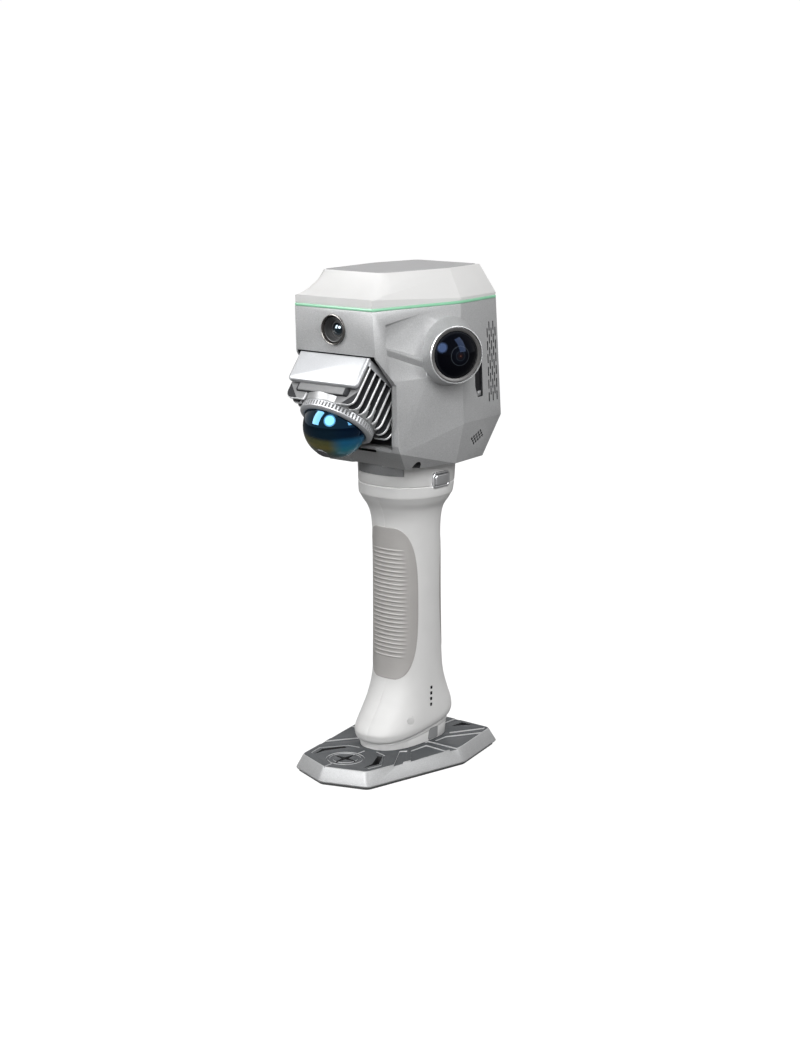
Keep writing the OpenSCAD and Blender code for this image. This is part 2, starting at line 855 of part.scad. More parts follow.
// Grey block under the head that seats in the collar
module handle_adapter() {
  color([0.5, 0.51, 0.52])
    difference() {
      union() {
        intersection() {
          collar_section(collar_stations[5], 0.4, notch_z + seat_gap, head_z0);
          translate([-notch_w / 2 + seat_gap, -60, notch_z])
            cube([notch_w - 2 * seat_gap, 60, 20]);
        }
        collar_section(collar_stations[0], collar_wall + seat_gap, block_z + 1.7, head_z0);
      }
      for (side = [-1, 1]) {
        translate([side * 50, 0, release_z])
          cube([2 * (50 - button_x + button_deep + 1.7), release_w + 5, release_h + 5], center = true);
      }
      translate([-16, 0, block_z])
        cube([32, 6, 3.4]);
    }
}

// Head outlines at its rim, at the lower creases and at its lower face
head_rim = both_sides([
  [head_front_w / 2, -head_front_y],
  [head_side_w / 2, head_side_y],
  [head_rear_w / 2, head_rear_y]
]);
foot_side_x = head_side_w / 2 + 0.7;
foot_rear_x = head_side_w / 2 - 4.4;
foot_rear_y = 39.2;
head_foot = both_sides([
  [head_front_w / 2, -44],
  [foot_side_x, 0.3],
  [foot_rear_x, foot_rear_y]
]);
crease_w = head_side_w / 2 + head_flare;
// The crease falls towards the front
crease_drop = 14.8;
brow_z = 318.2;

// Thin disc that marks one corner of the head in a hull
module corner(x, y, z, d) {
  translate([x, y, z])
    cylinder(r = head_r, h = skin, $fn = 28);
}

// Head's outer form, or its inside when d is the wall
module head_form(d, z_top, z_low) {
  e = d + head_r;
  hull() {
    slice(inset(head_rim, d), z_top - skin, head_r);
    slice(inset(head_foot, d * 1.3), z_low, head_r);
    pair() {
      corner(head_front_w / 2 + 1.3 - e, -head_front_y + 2.4 + e, brow_z, d);
      corner(crease_w - e, head_side_y, crease_z, d);
      corner(crease_w - 7.4 - e, -58 + e, crease_z - crease_drop, d);
      corner(head_rear_w / 2 + 4 - e, head_rear_y + 2.5 - e, crease_z, d);
    }
  }
}

// Frame on the lidar: origin on the centre of its mounting plane, Z along its axis to the
// dome, and Y towards the bare front plate
module lidar_place() {
  translate([0, -lidar_y, lidar_z])
    rotate([180 - lidar_tilt, 0, 0])
      children();
}

bay_gap = 4;
chin_z = 249.5;
// Side view of a point in the lidar's frame: y along its back-to-front, w along its axis
function side_point(y, w) = [
  -lidar_y - y * cos(lidar_tilt) - w * sin(lidar_tilt),
  lidar_z + y * sin(lidar_tilt) - w * cos(lidar_tilt)
];

// Space that the lidar hangs in, open to the front, with its walls moved out by grow
module lidar_bay(grow) {
  back = -lidar_w / 2 - bay_gap - grow;
  roof = -bay_gap - grow;
  lip = -head_front_y + head_wall + 0.2;
  roof_end = side_point(back, roof);
  roof_slope = tan(90 - lidar_tilt);
  low_w = (lidar_z + back * sin(lidar_tilt) - chin_z + grow) / cos(lidar_tilt);
  translate([-lidar_w / 2 - bay_gap - grow, 0, 0])
    rotate([90, 0, 90])
      linear_extrude(lidar_w + 2 * bay_gap + 2 * grow)
        polygon([
          [-130, brow_z + 0.5],
          [lip, brow_z + 0.5],
          [lip, roof_end[1] + (roof_end[0] - lip) / roof_slope],
          roof_end,
          side_point(back, low_w),
          [-130, chin_z - grow]
        ]);
}

// Side view of what is cut off in front of the side walls
module bay_front() {
  translate([-100, 0, 0])
    rotate([90, 0, 90])
      linear_extrude(200)
        polygon([
          [-130, brow_z],
          [-80, brow_z],
          [-59.5, 296],
          [-59.5, chin_z],
          [-130, chin_z]
        ]);
}

// Frames on the side walls: origin on the crease at the rim, X along the wall to the rear,
// Y up the wall, and Z out of it
wall_lean = atan(head_flare / (head_z1 - crease_z));
module side_wall(turn) {
  translate([head_side_w / 2, head_side_y, head_z1])
    rotate([90, 0, turn])
      rotate([-wall_lean, 0, 0])
        children();
}

rear_wall_turn = 90 + atan((head_side_w - head_rear_w) / 2 / (head_rear_y - head_side_y));
front_wall_turn = 90 - atan((head_side_w - head_front_w) / 2 / (head_side_y + head_front_y));

vent_cols = 5;
vent_rows = 6;
vent_x = 38;
vent_low = -73;
slot_x = 17.5;
slot_low = -71;
slot_w = 11;
slot_h = 25;
slot_depth = 2;

module vents() {
  side_wall(rear_wall_turn)
    for (c = [0 : vent_cols - 1], r = [0 : vent_rows - 1]) {
      translate([
        vent_x + c * vent_pitch - vent_w / 2,
        vent_low + r * vent_row_pitch + (c % 2) * vent_row_pitch / 2 - vent_l / 2,
        -8
      ])
        cube([vent_w, vent_l, 14]);
    }
}

// Side view of the slot behind the camera, with its slanted front edge
module slot_shape_at(gap, depth, h) {
  side_wall(rear_wall_turn)
    translate([slot_x, slot_low, -depth])
      linear_extrude(h)
        polygon([
          [gap + 3.5, gap],
          [slot_w - gap, gap],
          [slot_w - gap, slot_h - gap],
          [gap, slot_h - gap],
          [gap, 8]
        ]);
}

// Frame on a lower facet behind the crease, for the speaker grille
facet_turn = 90 + atan((crease_w - head_rear_w / 2 - 4.1) / 55);
facet_tilt = 6.9;
grille_pitch = 3;
module grille_place() {
  translate([crease_w, head_side_y, crease_z])
    rotate([90, 0, facet_turn])
      rotate([facet_tilt, 0, 0])
        translate([22.2, -13.1, 0])
          children();
}

module grille() {
  for (i = [-1.5 : 1.5], j = [-1.5 : 1.5]) {
    grille_place()
      translate([(i + j) * 2.7 - (i - j) * 0.4, (i - j) * 1.5 + (i + j) * 0.5, 0])
        rotate([0, 0, 45])
          translate([-0.75, -0.75, -8])
            cube([1.5, 1.5, 12]);
  }
}

module cam_place() {
  translate([side_cam_x, -side_cam_y, side_cam_z])
    rotate([90, 0, side_cam_angle])
      children();
}

// Wall of a side camera boss at its rim
boss_wall = 1.1;
// Depth of the wide part of its bore
boss_deep = 7;
case_screw_spots = [[39, -35.5], [-39, -35.5], [28, 36.5], [-28, 36.5]];
case_recess_r = 3.7;
case_recess_h = 11;

// Four-sided solid between a floor and a top, both listed anticlockwise seen from outside
module wedge(low, high) {
  loft([low, high]);
}

// Styling recess in the side wall ahead of the camera, and the step below its lower ridge
module side_recess() {
  side_wall(front_wall_turn) {
    wedge(
      [[-73.2, -25.4, -2], [-40, -36.2, -0.3], [-45, -6.2, -0.1], [-72.6, -12, -2]],
      [[-77.2, -24.6, 2], [-40, -39, 2], [-45, -3, 2], [-76.4, -8.4, 2]]
    );
    wedge(
      [[-70.4, -50, 0.4], [-38, -50, 0.4], [-38, -39.8, -1.8], [-74, -27.6, -1.8]],
      [[-70.4, -50, 2], [-38, -50, 2], [-38, -37.6, 2], [-74.6, -25.4, 2]]
    );
  }
}

// Rear interface recess, closed by the rear cover
rear_port_w = 78;
rear_port_h = 10;
rear_port_z = 251;
rear_port_t = 1.9;
rear_tilt = atan((head_rear_y + 2.5 - foot_rear_y) / (crease_z - head_z0));
module rear_place() {
  translate([0, foot_rear_y + (rear_port_z - head_z0) * tan(rear_tilt), rear_port_z])
    rotate([90, 0, 180])
      rotate([rear_tilt, 0, 0])
        children();
}

// Shallow recess with slanted sides in the front slope under the lidar's dome
module chin_recess() {
  translate([0, -44, head_z0])
    rotate([43.2, 0, 0])
      wedge(
        [[-15, -2, -4], [15, -2, -4], [12, 2, -4], [-12, 2, -4]],
        [[-25, -2, 30], [25, -2, 30], [21, 2, 30], [-21, 2, 30]]
      );
}

module head_shell() {
  color([0.6, 0.61, 0.62])
    difference() {
      union() {
        difference() {
          head_form(0, head_z1, head_z0);
          head_form(head_wall, head_z1 + cut, head_z0 + head_wall);
        }
        intersection() {
          head_form(0.1, head_z1 - 1, head_z0);
          union() {
            lidar_bay(2.5);
            for (p = case_screw_spots) {
              translate([p[0], p[1], head_z0])
                cylinder(r = case_recess_r + 2, h = case_recess_h + 2);
            }
          }
        }
        pair()
          cam_place() {
            translate([0, 0, -26])
              cylinder(r = side_cam_r, h = 26);
            translate([0, 0, -24])
              cylinder(r1 = side_cam_r + 5, r2 = side_cam_r, h = 12);
          }
      }
      lidar_bay(0);
      bay_front();
      chin_recess();
      lidar_place()
        translate([0, 0, core_top - 2])
          cylinder(r = ring_r + 3, h = 60);
      block(inset(head_foot, 9), head_z0 - cut, head_z0 + head_wall + cut, 3);
      pair() {
        cam_place() {
          translate([0, 0, -boss_deep])
            cylinder(r = side_cam_r - boss_wall, h = 20);
          translate([0, 0, -40])
            cylinder(r = side_glass_r + 1.5, h = 50);
        }
        side_recess();
        vents();
        grille();
        slot_shape_at(0, slot_depth, 10);
      }
      for (p = case_screw_spots) {
        translate([p[0], p[1], head_z0 - cut])
          cylinder(r = case_recess_r, h = case_recess_h + cut);
      }
      translate([0, -head_front_y - 5, front_cam_z])
        rotate([-90, 0, 0])
          cylinder(r = front_cam_r - 1, h = 20);
      rear_place()
        translate([-rear_port_w / 2 - run_gap, -rear_port_h / 2 - run_gap, -rear_port_t])
          cube([rear_port_w + 2 * run_gap, rear_port_h + 2 * run_gap, 10]);
    }
}

// Plate that closes the head from below and carries the adapter
module bottom_cover() {
  color([0.45, 0.46, 0.47])
    block(inset(head_foot, 9 + seat_gap), head_z0, head_z0 + head_wall, 3);
}

// Case screws seen in the arched recesses of the lower facets
module case_screws() {
  color([0.3, 0.3, 0.32])
    for (p = case_screw_spots) {
      translate([p[0], p[1], head_z0 + case_recess_h - 2.2])
        difference() {
          cylinder(r = case_recess_r - 0.3, h = 2.2);
          translate([0, 0, -cut])
            cylinder(r = 1.2, h = cut + 1.2, $fn = 6);
        }
    }
}

// Light band between the body and the white cap
module light_ring() {
  color([0.55, 0.78, 0.65])
    difference() {
      block(inset(head_rim, -0.4), head_z1, head_z1 + band_h, head_r);
      block(inset(head_rim, 6), head_z1 - cut, head_z1 + band_h + cut, 2);
    }
}

// White cap: facets up to the top panel, with a scooped front
cap_z0 = head_z1 + band_h;
panel_t = 1.6;
cap_z1 = total_h - 0.4;
top_outline = both_sides([
  [top_front_w / 2, -top_front_y],
  [top_side_w / 2, head_side_y],
  [top_rear_w / 2, top_rear_y]
]);
scoop_r = 32;

// Cylinder between two points
module rod(a, b, r) {
  d = b - a;
  translate(a)
    rotate([0, acos(d[2] / norm(d)), atan2(d[1], d[0])])
      cylinder(r = r, h = norm(d), $fn = 64);
}

// Centre of the arc of radius scoop_r that sags between two points of a side view [out, up]
function arc_centre(low, high) =
  let (d = high - low, half = norm(d) / 2, n = [-d[1], d[0]] / norm(d))
  (low + high) / 2 + n * sqrt(scoop_r * scoop_r - half * half);

module cap_scoop() {
  front = arc_centre([-head_front_y + 0.3, cap_z0 + lip_h], [-top_front_y, cap_z1]);
  side = arc_centre([-head_front_w / 2 + 0.4, cap_z0 + lip_h], [-top_front_w / 2, cap_z1]);
  rear = [-top_side_w / 2, cap_z1] + scoop_r * unit([-(cap_z1 - cap_z0), head_side_w / 2 - top_side_w / 2]);
  rod([-80, front[0], front[1]], [80, front[0], front[1]], scoop_r);
  pair()
    rod([-side[0], -head_front_y - 20, side[1] - 2], [-rear[0], head_side_y, rear[1]], scoop_r);
}

module cap_form(d, z0, z1) {
  hull() {
    for (p = inset(head_rim, 0.2 + d + head_r)) {
      translate([p[0], p[1], z0])
        cylinder(r = head_r, h = cap_z0 - z0 + (p[1] < -20 ? lip_h : 2), $fn = 28);
    }
    slice(inset(top_outline, d), z1 - skin, 2);
  }
}

module top_cap() {
  color([0.93, 0.93, 0.93])
    difference() {
      cap_form(0, cap_z0, cap_z1);
      cap_scoop();
      cap_form(6, cap_z0 - cut, cap_z1 - 9);
      block(inset(top_outline, 1), cap_z1 - panel_t, cap_z1 + cut, 2);
    }
}

module top_panel() {
  color([0.68, 0.68, 0.68])
    block(inset(top_outline, 1 + seat_gap), cap_z1 - panel_t, total_h, 2);
}

// Deck that closes the body under the light band
module inner_deck() {
  color([0.4, 0.4, 0.42])
    block(inset(head_rim, head_wall + seat_gap), head_z1 - 2.5, head_z1, head_r);
}

// Satellite antenna under the cap
module antenna_board() {
  color([0.1, 0.35, 0.2])
    translate([0, 0, head_z1])
      cylinder(r = 31, h = 1.6);
}

module antenna_patch() {
  color([0.85, 0.8, 0.7])
    translate([0, 0, head_z1 + 1.6])
      bar([38, 38, 6]);
}

// Main board on posts from the bottom cover, with its heat sink and fan
board_z = head_z0 + head_wall + 5;
sink_z = board_z + board_t + 0.8;
sink_h = 14;
fan_z = sink_z + sink_h;
fan_size = 40;
fan_h = 10;
fan_y = 7;

module main_board() {
  color([0.1, 0.35, 0.2])
    union() {
      translate([0, -1, board_z])
        bar([62, 58, board_t]);
      for (x = [-1, 1], y = [-16, 22]) {
        translate([x * 27, y, head_z0 + head_wall])
          cylinder(r = 2.5, h = board_z - head_z0 - head_wall);
      }
    }
}

module heat_sink() {
  color([0.7, 0.7, 0.72])
    translate([0, fan_y, board_z + board_t]) {
      bar([fan_size, fan_size, 3]);
      for (i = [-4 : 4]) {
        translate([i * 4.6, 0, 0])
          bar([1.4, fan_size, sink_h + 0.8]);
      }
    }
}

module fan_frame() {
  color([0.15, 0.15, 0.16])
    translate([0, fan_y, fan_z])
      difference() {
        union() {
          difference() {
            bar([fan_size, fan_size, fan_h]);
            translate([0, 0, -cut])
              cylinder(r = fan_size / 2 - 1, h = fan_h + 2 * cut);
          }
          cylinder(r = 10, h = 1.2);
          for (a = [45 : 90 : 315]) {
            rotate([0, 0, a])
              translate([8, -1, 0])
                cube([fan_size / 2 - 5, 2, 1.2]);
          }
          cylinder(r = 1.45, h = 6);
        }
      }
}

module fan_rotor() {
  color([0.25, 0.25, 0.27])
    translate([0, fan_y, fan_z + 1.5])
      difference() {
        union() {
          cylinder(r = 9.5, h = fan_h - 2.5);
          for (i = [0 : 6]) {
            rotate([0, 0, i * 360 / 7])
              translate([8.5, 0, 0.6])
                rotate([35, 0, 0])
                  translate([0, -0.6, 0])
                    cube([fan_size / 2 - 10.5, 1.2, 7]);
          }
        }
        translate([0, 0, -cut])
          cylinder(r = 1.5, h = 6 + cut);
      }
}

// Bracket between the bay's upper wall and the lidar
module lidar_bracket() {
  color([0.4, 0.4, 0.42])
    lidar_place()
      translate([-20, -20, -bay_gap + 0.1])
        cube([40, 40, bay_gap - 0.1]);
}

core_w = lidar_w - 2 * fin_reach;
flange_t = 5;
core_top = 30;
fin_top = 36;
label_t = 3.4;
bend_r = 6;

// Side view of one fin, on the +X side: it runs down the side and bends in over the face
module fin_profile(start) {
  translate([core_w / 2 - cut, flange_t - cut])
    square([fin_reach + cut, fin_top - bend_r - flange_t + cut]);
  translate([start, core_top - cut])
    square([lidar_w / 2 - bend_r - start, fin_top - core_top + cut]);
  translate([lidar_w / 2 - bend_r, fin_top - bend_r])
    intersection() {
      circle(r = bend_r);
      square(bend_r);
    }
}

module lidar_housing() {
  first = lidar_w / 2 - label_t - 2.6;
  color([0.8, 0.81, 0.82])
    lidar_place() {
      difference() {
        union() {
          translate([-lidar_w / 2, -lidar_w / 2, 0])
            cube([lidar_w, lidar_w - label_t, flange_t]);
          translate([-core_w / 2, -lidar_w / 2 + 1, 0])
            cube([core_w, lidar_w - 1 - label_t, core_top]);
          translate([0, 0, label_len + seat_gap])
            cylinder(r = ring_r + 1.4, h = fin_top - 1 - label_len - seat_gap);
          pair()
            for (i = [0 : fin_count - 1]) {
              y = first - fin_t / 2 - i * fin_pitch;
              start = min(lidar_w / 2 - bend_r, sqrt(max(0, pow(ring_r + 2.5, 2) - y * y)));
              translate([0, y + fin_t / 2, 0])
                rotate([90, 0, 0])
                  linear_extrude(fin_t)
                    fin_profile(start);
            }
        }
        translate([0, 0, core_top - 8])
          cylinder(r = dome_r + 0.2, h = 20);
        translate([0, 0, fin_top - 1])
          cylinder(r = ring_r + 1, h = 4);
      }
    }
}

module lidar_label_plate() {
  color([0.83, 0.84, 0.86])
    lidar_place()
      translate([-lidar_w / 2, lidar_w / 2 - label_t, 0])
        cube([lidar_w, label_t, label_len]);
}

// Ring round the dome, knurled on its rim
ring_h = 5;
module lidar_ring() {
  color([0.75, 0.76, 0.78])
    lidar_place()
      translate([0, 0, fin_top - 1])
        difference() {
          union() {
            cylinder(r = ring_r, h = ring_h);
            translate([0, 0, ring_h])
              cylinder(r1 = ring_r, r2 = dome_r + 2, h = 1.5);
          }
          translate([0, 0, -cut])
            cylinder(r = dome_r + 0.1, h = ring_h + 4);
          for (i = [0 : 35]) {
            rotate([0, 0, i * 10])
              translate([ring_r - 0.5, -0.6, 0.8])
                cube([2, 1.2, ring_h - 1.6]);
          }
        }
}

tip_r = 5.3;
dome_z = lidar_len - 0.6 - sqrt(dome_r * dome_r - tip_r * tip_r);

module lidar_window() {
  color([0.1, 0.15, 0.25])
    lidar_place()
      difference() {
        union() {
          translate([0, 0, core_top - 8])
            cylinder(r = dome_r, h = dome_z - core_top + 8);
          translate([0, 0, dome_z])
            intersection() {
              sphere(r = dome_r, $fn = 64);
              translate([0, 0, -dome_wall])
                cylinder(r = dome_r + cut, h = sqrt(dome_r * dome_r - tip_r * tip_r) + dome_wall);
            }
        }
        translate([0, 0, core_top - 8 + 2])
          cylinder(r = dome_r - dome_wall, h = dome_z - core_top + 6);
        translate([0, 0, dome_z])
          sphere(r = dome_r - dome_wall, $fn = 64);
      }
}

// Round disc on the dome's tip
module lidar_tip() {
  color([0.15, 0.15, 0.17])
    lidar_place()
      translate([0, 0, dome_z + sqrt(dome_r * dome_r - tip_r * tip_r)])
        cylinder(r = tip_r, h = 0.6);
}

// Spinning mirror carrier inside the dome
module lidar_rotor() {
  color([0.5, 0.5, 0.55])
    lidar_place()
      translate([0, 0, core_top - 6 + run_gap]) {
        cylinder(r = 17, h = 5);
        difference() {
          cylinder(r = 11, h = 24);
          translate([0, 0, 17])
            rotate([35, 0, 0])
              bar([40, 40, 30]);
        }
      }
}

// Front camera in its bore
module front_cam_place() {
  translate([0, -head_front_y, front_cam_z])
    rotate([90, 0, 0])
      children();
}

module front_camera_bezel() {
  color([0.8, 0.8, 0.8])
    front_cam_place()
      difference() {
        union() {
          translate([0, 0, -0.2])
            cylinder(r = front_cam_r, h = 1);
          translate([0, 0, -5])
            cylinder(r = front_cam_r - 1.1, h = 5.5);
        }
        translate([0, 0, -8])
          cylinder(r = front_cam_r - 1.8, h = 12);
      }
}

module front_camera_barrel() {
  color([0.05, 0.05, 0.06])
    front_cam_place()
      difference() {
        translate([0, 0, -14])
          cylinder(r = front_cam_r - 1.9, h = 14);
        translate([0, 0, -6])
          cylinder(r1 = 4.6, r2 = front_cam_r - 2.6, h = 6.2);
        translate([0, 0, -9])
          cylinder(r = 4.2, h = 6);
      }
}

module front_camera_lens() {
  color([0.1, 0.15, 0.2])
    front_cam_place()
      intersection() {
        translate([0, 0, -9])
          cylinder(r = 4.1, h = 6);
        translate([0, 0, -10.5])
          sphere(r = 6, $fn = 48);
      }
}

// Side camera pieces, drawn on the right in the frame of the rim
module side_bezel() {
  cam_place()
    translate([0, 0, -boss_deep])
      difference() {
        cylinder(r = side_cam_r - boss_wall - 0.05, h = boss_deep - 0.6);
        translate([0, 0, 2])
          cylinder(r = side_glass_r + 0.05, h = boss_deep);
        translate([0, 0, -cut])
          cylinder(r = side_glass_r - 1.5, h = 6);
      }
}

module side_barrel() {
  cam_place()
    translate([0, 0, -24])
      cylinder(r = side_glass_r + 1.4, h = 24 - boss_deep);
}

module side_lens() {
  glass_ball_r = 22;
  rise = glass_ball_r - sqrt(glass_ball_r * glass_ball_r - side_glass_r * side_glass_r);
  cam_place()
    intersection() {
      translate([0, 0, -boss_deep + 2])
        cylinder(r = side_glass_r, h = rise + boss_deep);
      translate([0, 0, -1.5 + rise - glass_ball_r])
        sphere(r = glass_ball_r, $fn = 64);
    }
}

module side_camera_bezel_right() {
  color([0.08, 0.08, 0.09])
    side_bezel();
}

module side_camera_bezel_left() {
  color([0.08, 0.08, 0.09])
    mirror([1, 0, 0])
      side_bezel();
}

module side_camera_barrel_right() {
  color([0.15, 0.15, 0.16])
    side_barrel();
}

module side_camera_barrel_left() {
  color([0.15, 0.15, 0.16])
    mirror([1, 0, 0])
      side_barrel();
}

module side_camera_lens_right() {
  color([0.05, 0.08, 0.12])
    side_lens();
}

module side_camera_lens_left() {
  color([0.05, 0.08, 0.12])
    mirror([1, 0, 0])
      side_lens();
}

// Black inserts in the side slots
module slot_inserts() {
  color([0.06, 0.06, 0.07])
    pair()
      slot_shape_at(seat_gap, slot_depth, 1);
}

// Data sockets behind the rear cover, and the cover, hinged along its lower edge
module rear_socket() {
  color([0.3, 0.3, 0.32])
    rear_place()
      for (x = [-1, 1]) {
        translate([x * rear_port_w / 4 - 6, -rear_port_h / 2 + 3, -rear_port_t])
          cube([12, rear_port_h - 6, 0.4]);
      }
}

module rear_port_cover() {
  color([0.12, 0.12, 0.13])
    rear_place()
      translate([-rear_port_w / 2, -rear_port_h / 2, -rear_port_t + 0.7])
        cube([rear_port_w, rear_port_h, rear_port_t]);
}

module speaker() {
  color([0.2, 0.2, 0.22])
    grille_place()
      translate([0, 0, -head_wall - 5.2])
        cylinder(r = 6, h = 4);
}

rubber_foot();
base_plate();
base_screws();
tripod_insert();
foot_band();
handle_shell_left();
handle_shell_right();
front_grip();
rear_grip();
collar();
battery_cells();
cell_frame();
battery_board();
led_light_pipes();
contact_block();
battery_button();
release_button_right();
release_button_left();
release_bezels();
release_springs();
port_cover();
charge_port();
head_shell();
bottom_cover();
handle_adapter();
case_screws();
light_ring();
top_cap();
top_panel();
inner_deck();
antenna_board();
antenna_patch();
main_board();
heat_sink();
fan_frame();
fan_rotor();
lidar_bracket();
lidar_housing();
lidar_label_plate();
lidar_ring();
lidar_window();
lidar_tip();
lidar_rotor();
front_camera_bezel();
front_camera_barrel();
front_camera_lens();
side_camera_bezel_right();
side_camera_bezel_left();
side_camera_barrel_right();
side_camera_barrel_left();
side_camera_lens_right();
side_camera_lens_left();
slot_inserts();
rear_socket();
rear_port_cover();
speaker();
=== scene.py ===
# Handheld lidar scanner on its battery handle and base plate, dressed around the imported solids.
# Sizes below are millimetres unless a line says otherwise; a finished mesh is in metres.
import math

import bmesh
import bpy
from mathutils import Matrix, Vector


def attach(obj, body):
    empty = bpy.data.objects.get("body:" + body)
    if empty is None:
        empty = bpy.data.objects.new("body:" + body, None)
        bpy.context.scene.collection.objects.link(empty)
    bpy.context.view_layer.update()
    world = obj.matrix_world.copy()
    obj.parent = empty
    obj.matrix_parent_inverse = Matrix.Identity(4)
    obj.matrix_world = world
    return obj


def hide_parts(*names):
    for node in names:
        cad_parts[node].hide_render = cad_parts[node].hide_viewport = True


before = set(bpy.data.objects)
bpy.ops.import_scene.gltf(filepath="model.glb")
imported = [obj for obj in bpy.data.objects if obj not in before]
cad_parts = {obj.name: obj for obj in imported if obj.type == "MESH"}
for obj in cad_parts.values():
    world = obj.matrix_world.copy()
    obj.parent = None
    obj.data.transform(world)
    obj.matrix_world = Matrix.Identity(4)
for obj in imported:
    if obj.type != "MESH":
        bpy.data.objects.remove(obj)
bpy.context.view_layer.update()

# The room: a pale table top that runs back out of sight, four soft lamps and an even sky.
# The camera and clear glass see the floor and the sky as white, and mirrors see part of that.
scene = bpy.context.scene
scene.view_settings.view_transform = "Standard"


def node(tree, kind, inputs, operation=None):
    """New shader node, each of its inputs linked to a given socket or set to a given value."""
    made = tree.nodes.new(kind)
    if operation:
        made.operation = operation
    for name, value in inputs.items():
        if isinstance(value, bpy.types.NodeSocket):
            tree.links.new(value, made.inputs[name])
        else:
            made.inputs[name].default_value = value
    return made


def material(name, inputs):
    """New material with those values on its shader, together with its node tree and shader."""
    made = bpy.data.materials.new(name)
    made.use_nodes = True
    shader = made.node_tree.nodes["Principled BSDF"]
    for socket, value in inputs.items():
        shader.inputs[socket].default_value = value
    return made, made.node_tree, shader


def seen_as_white(tree, lit, lift, mirrored):
    """Shader that adds white light to a lit one for camera and glass rays, and for mirror rays."""
    path = tree.nodes.new("ShaderNodeLightPath").outputs
    straight = node(tree, "ShaderNodeMath",
                    {0: path["Is Camera Ray"], 1: path["Is Transmission Ray"]}, "MAXIMUM")
    scaled = node(tree, "ShaderNodeMath", {0: straight.outputs[0], 1: lift}, "MULTIPLY")
    total = node(tree, "ShaderNodeMath",
                 {0: path["Is Glossy Ray"], 1: mirrored, 2: scaled.outputs[0]}, "MULTIPLY_ADD")
    glow = node(tree, "ShaderNodeEmission", {"Color": (1, 1, 1, 1), "Strength": total.outputs[0]})
    return node(tree, "ShaderNodeAddShader", {0: lit, 1: glow.outputs[0]}).outputs[0]


floor_mesh = bmesh.new()
bmesh.ops.create_grid(floor_mesh, x_segments=8, y_segments=8, size=12)
floor_data = bpy.data.meshes.new("floor")
floor_mesh.to_mesh(floor_data)
floor_mesh.free()
floor = bpy.data.objects.new("floor", floor_data)
scene.collection.objects.link(floor)
table_top, tree, shader = material("table_top", {
    "Base Color": (0.12, 0.12, 0.12, 1), "Roughness": 0.9, "Specular IOR Level": 0.0})
tree.links.new(seen_as_white(tree, shader.outputs[0], lift=0.95, mirrored=0.04),
               tree.nodes["Material Output"].inputs["Surface"])
floor_data.materials.append(table_top)

sky = bpy.data.worlds.new("sky")
scene.world = sky
sky.use_nodes = True
tree = sky.node_tree
background = tree.nodes["Background"]
background.inputs["Color"].default_value = (1.0, 0.99, 0.985, 1)
background.inputs["Strength"].default_value = 0.56
tree.links.new(seen_as_white(tree, background.outputs[0], lift=0.46, mirrored=0.0),
               tree.nodes["World Output"].inputs["Surface"])
head_middle = Vector((0.0, -0.06, 0.27))


def soft_box(name, way, far, width, height, bright, round_face=False, mirrored=False):
    """Studio lamp of that size, as far from the head as given, and that bright beside white."""
    lamp = bpy.data.lights.new(name, "AREA")
    lamp.shape = "ELLIPSE" if round_face else "RECTANGLE"
    lamp.size = width
    lamp.size_y = height
    area = width * height * (math.pi / 4 if round_face else 1)
    lamp.energy = bright * math.pi * area
    way = Vector(way).normalized()
    box = bpy.data.objects.new(name, lamp)
    box.location = head_middle + way * far
    box.rotation_euler = (-way).to_track_quat("-Z", "Y").to_euler()
    box.visible_diffuse = not mirrored
    box.visible_glossy = mirrored
    scene.collection.objects.link(box)


# The first four light the object; its glass mirrors the last four, windows and a round lamp.
soft_box("left_light", (-0.50, -0.74, 0.55), 1.5, 0.6, 0.8, 3.7)
soft_box("front_light", (0.30, -0.84, 0.44), 1.6, 0.5, 0.5, 2.4)
soft_box("right_light", (0.74, -0.44, 0.56), 1.5, 0.7, 0.8, 8.2)
soft_box("rear_light", (-0.5, 0.8, 0.45), 1.5, 0.8, 0.8, 4)
soft_box("left_window", (-0.50, -0.74, 0.47), 1.4, 0.7, 1.1, 22, mirrored=True)
soft_box("front_disc", (0.30, -0.84, 0.44), 1.4, 1.05, 1.05, 12, round_face=True,
         mirrored=True)
soft_box("disc_middle", (0.30, -0.84, 0.44), 1.38, 0.80, 0.80, 26, round_face=True,
         mirrored=True)
soft_box("right_window", (0.83, 0.16, 0.50), 1.4, 0.62, 1.2, 15, mirrored=True)

# The camera stands where the photograph was taken from: right of the front, 12 degrees up.
camera_turn = math.radians(39.8)
camera_dip = math.radians(12.17)
lens = bpy.data.cameras.new("camera")
lens.lens = 67.0
lens.sensor_width = 36
lens.clip_start = 0.05
lens.clip_end = 40
camera = bpy.data.objects.new("camera", lens)
camera.location = (0.9138, -1.1032, 0.4927)
look = Vector((
    -math.sin(camera_turn) * math.cos(camera_dip),
    math.cos(camera_turn) * math.cos(camera_dip),
    -math.sin(camera_dip),
))
camera.rotation_euler = look.to_track_quat("-Z", "Y").to_euler()
scene.collection.objects.link(camera)
scene.camera = camera

# Base plate: one aluminium casting, its sides blasted and painted silver, its top in grey painted
# shade.
# Pockets, channels and a ringed star are milled in its top; the star and four slots go deep.
MM = 0.001


def noise(tree, size, detail):
    """Noise on the piece's own coordinates, with its features about that many mm across."""
    place = tree.nodes.new("ShaderNodeTexCoord")
    return node(tree, "ShaderNodeTexNoise", {
        "Scale": 1 / (size * MM), "Detail": detail, "Vector": place.outputs["Object"],
    }).outputs["Fac"]


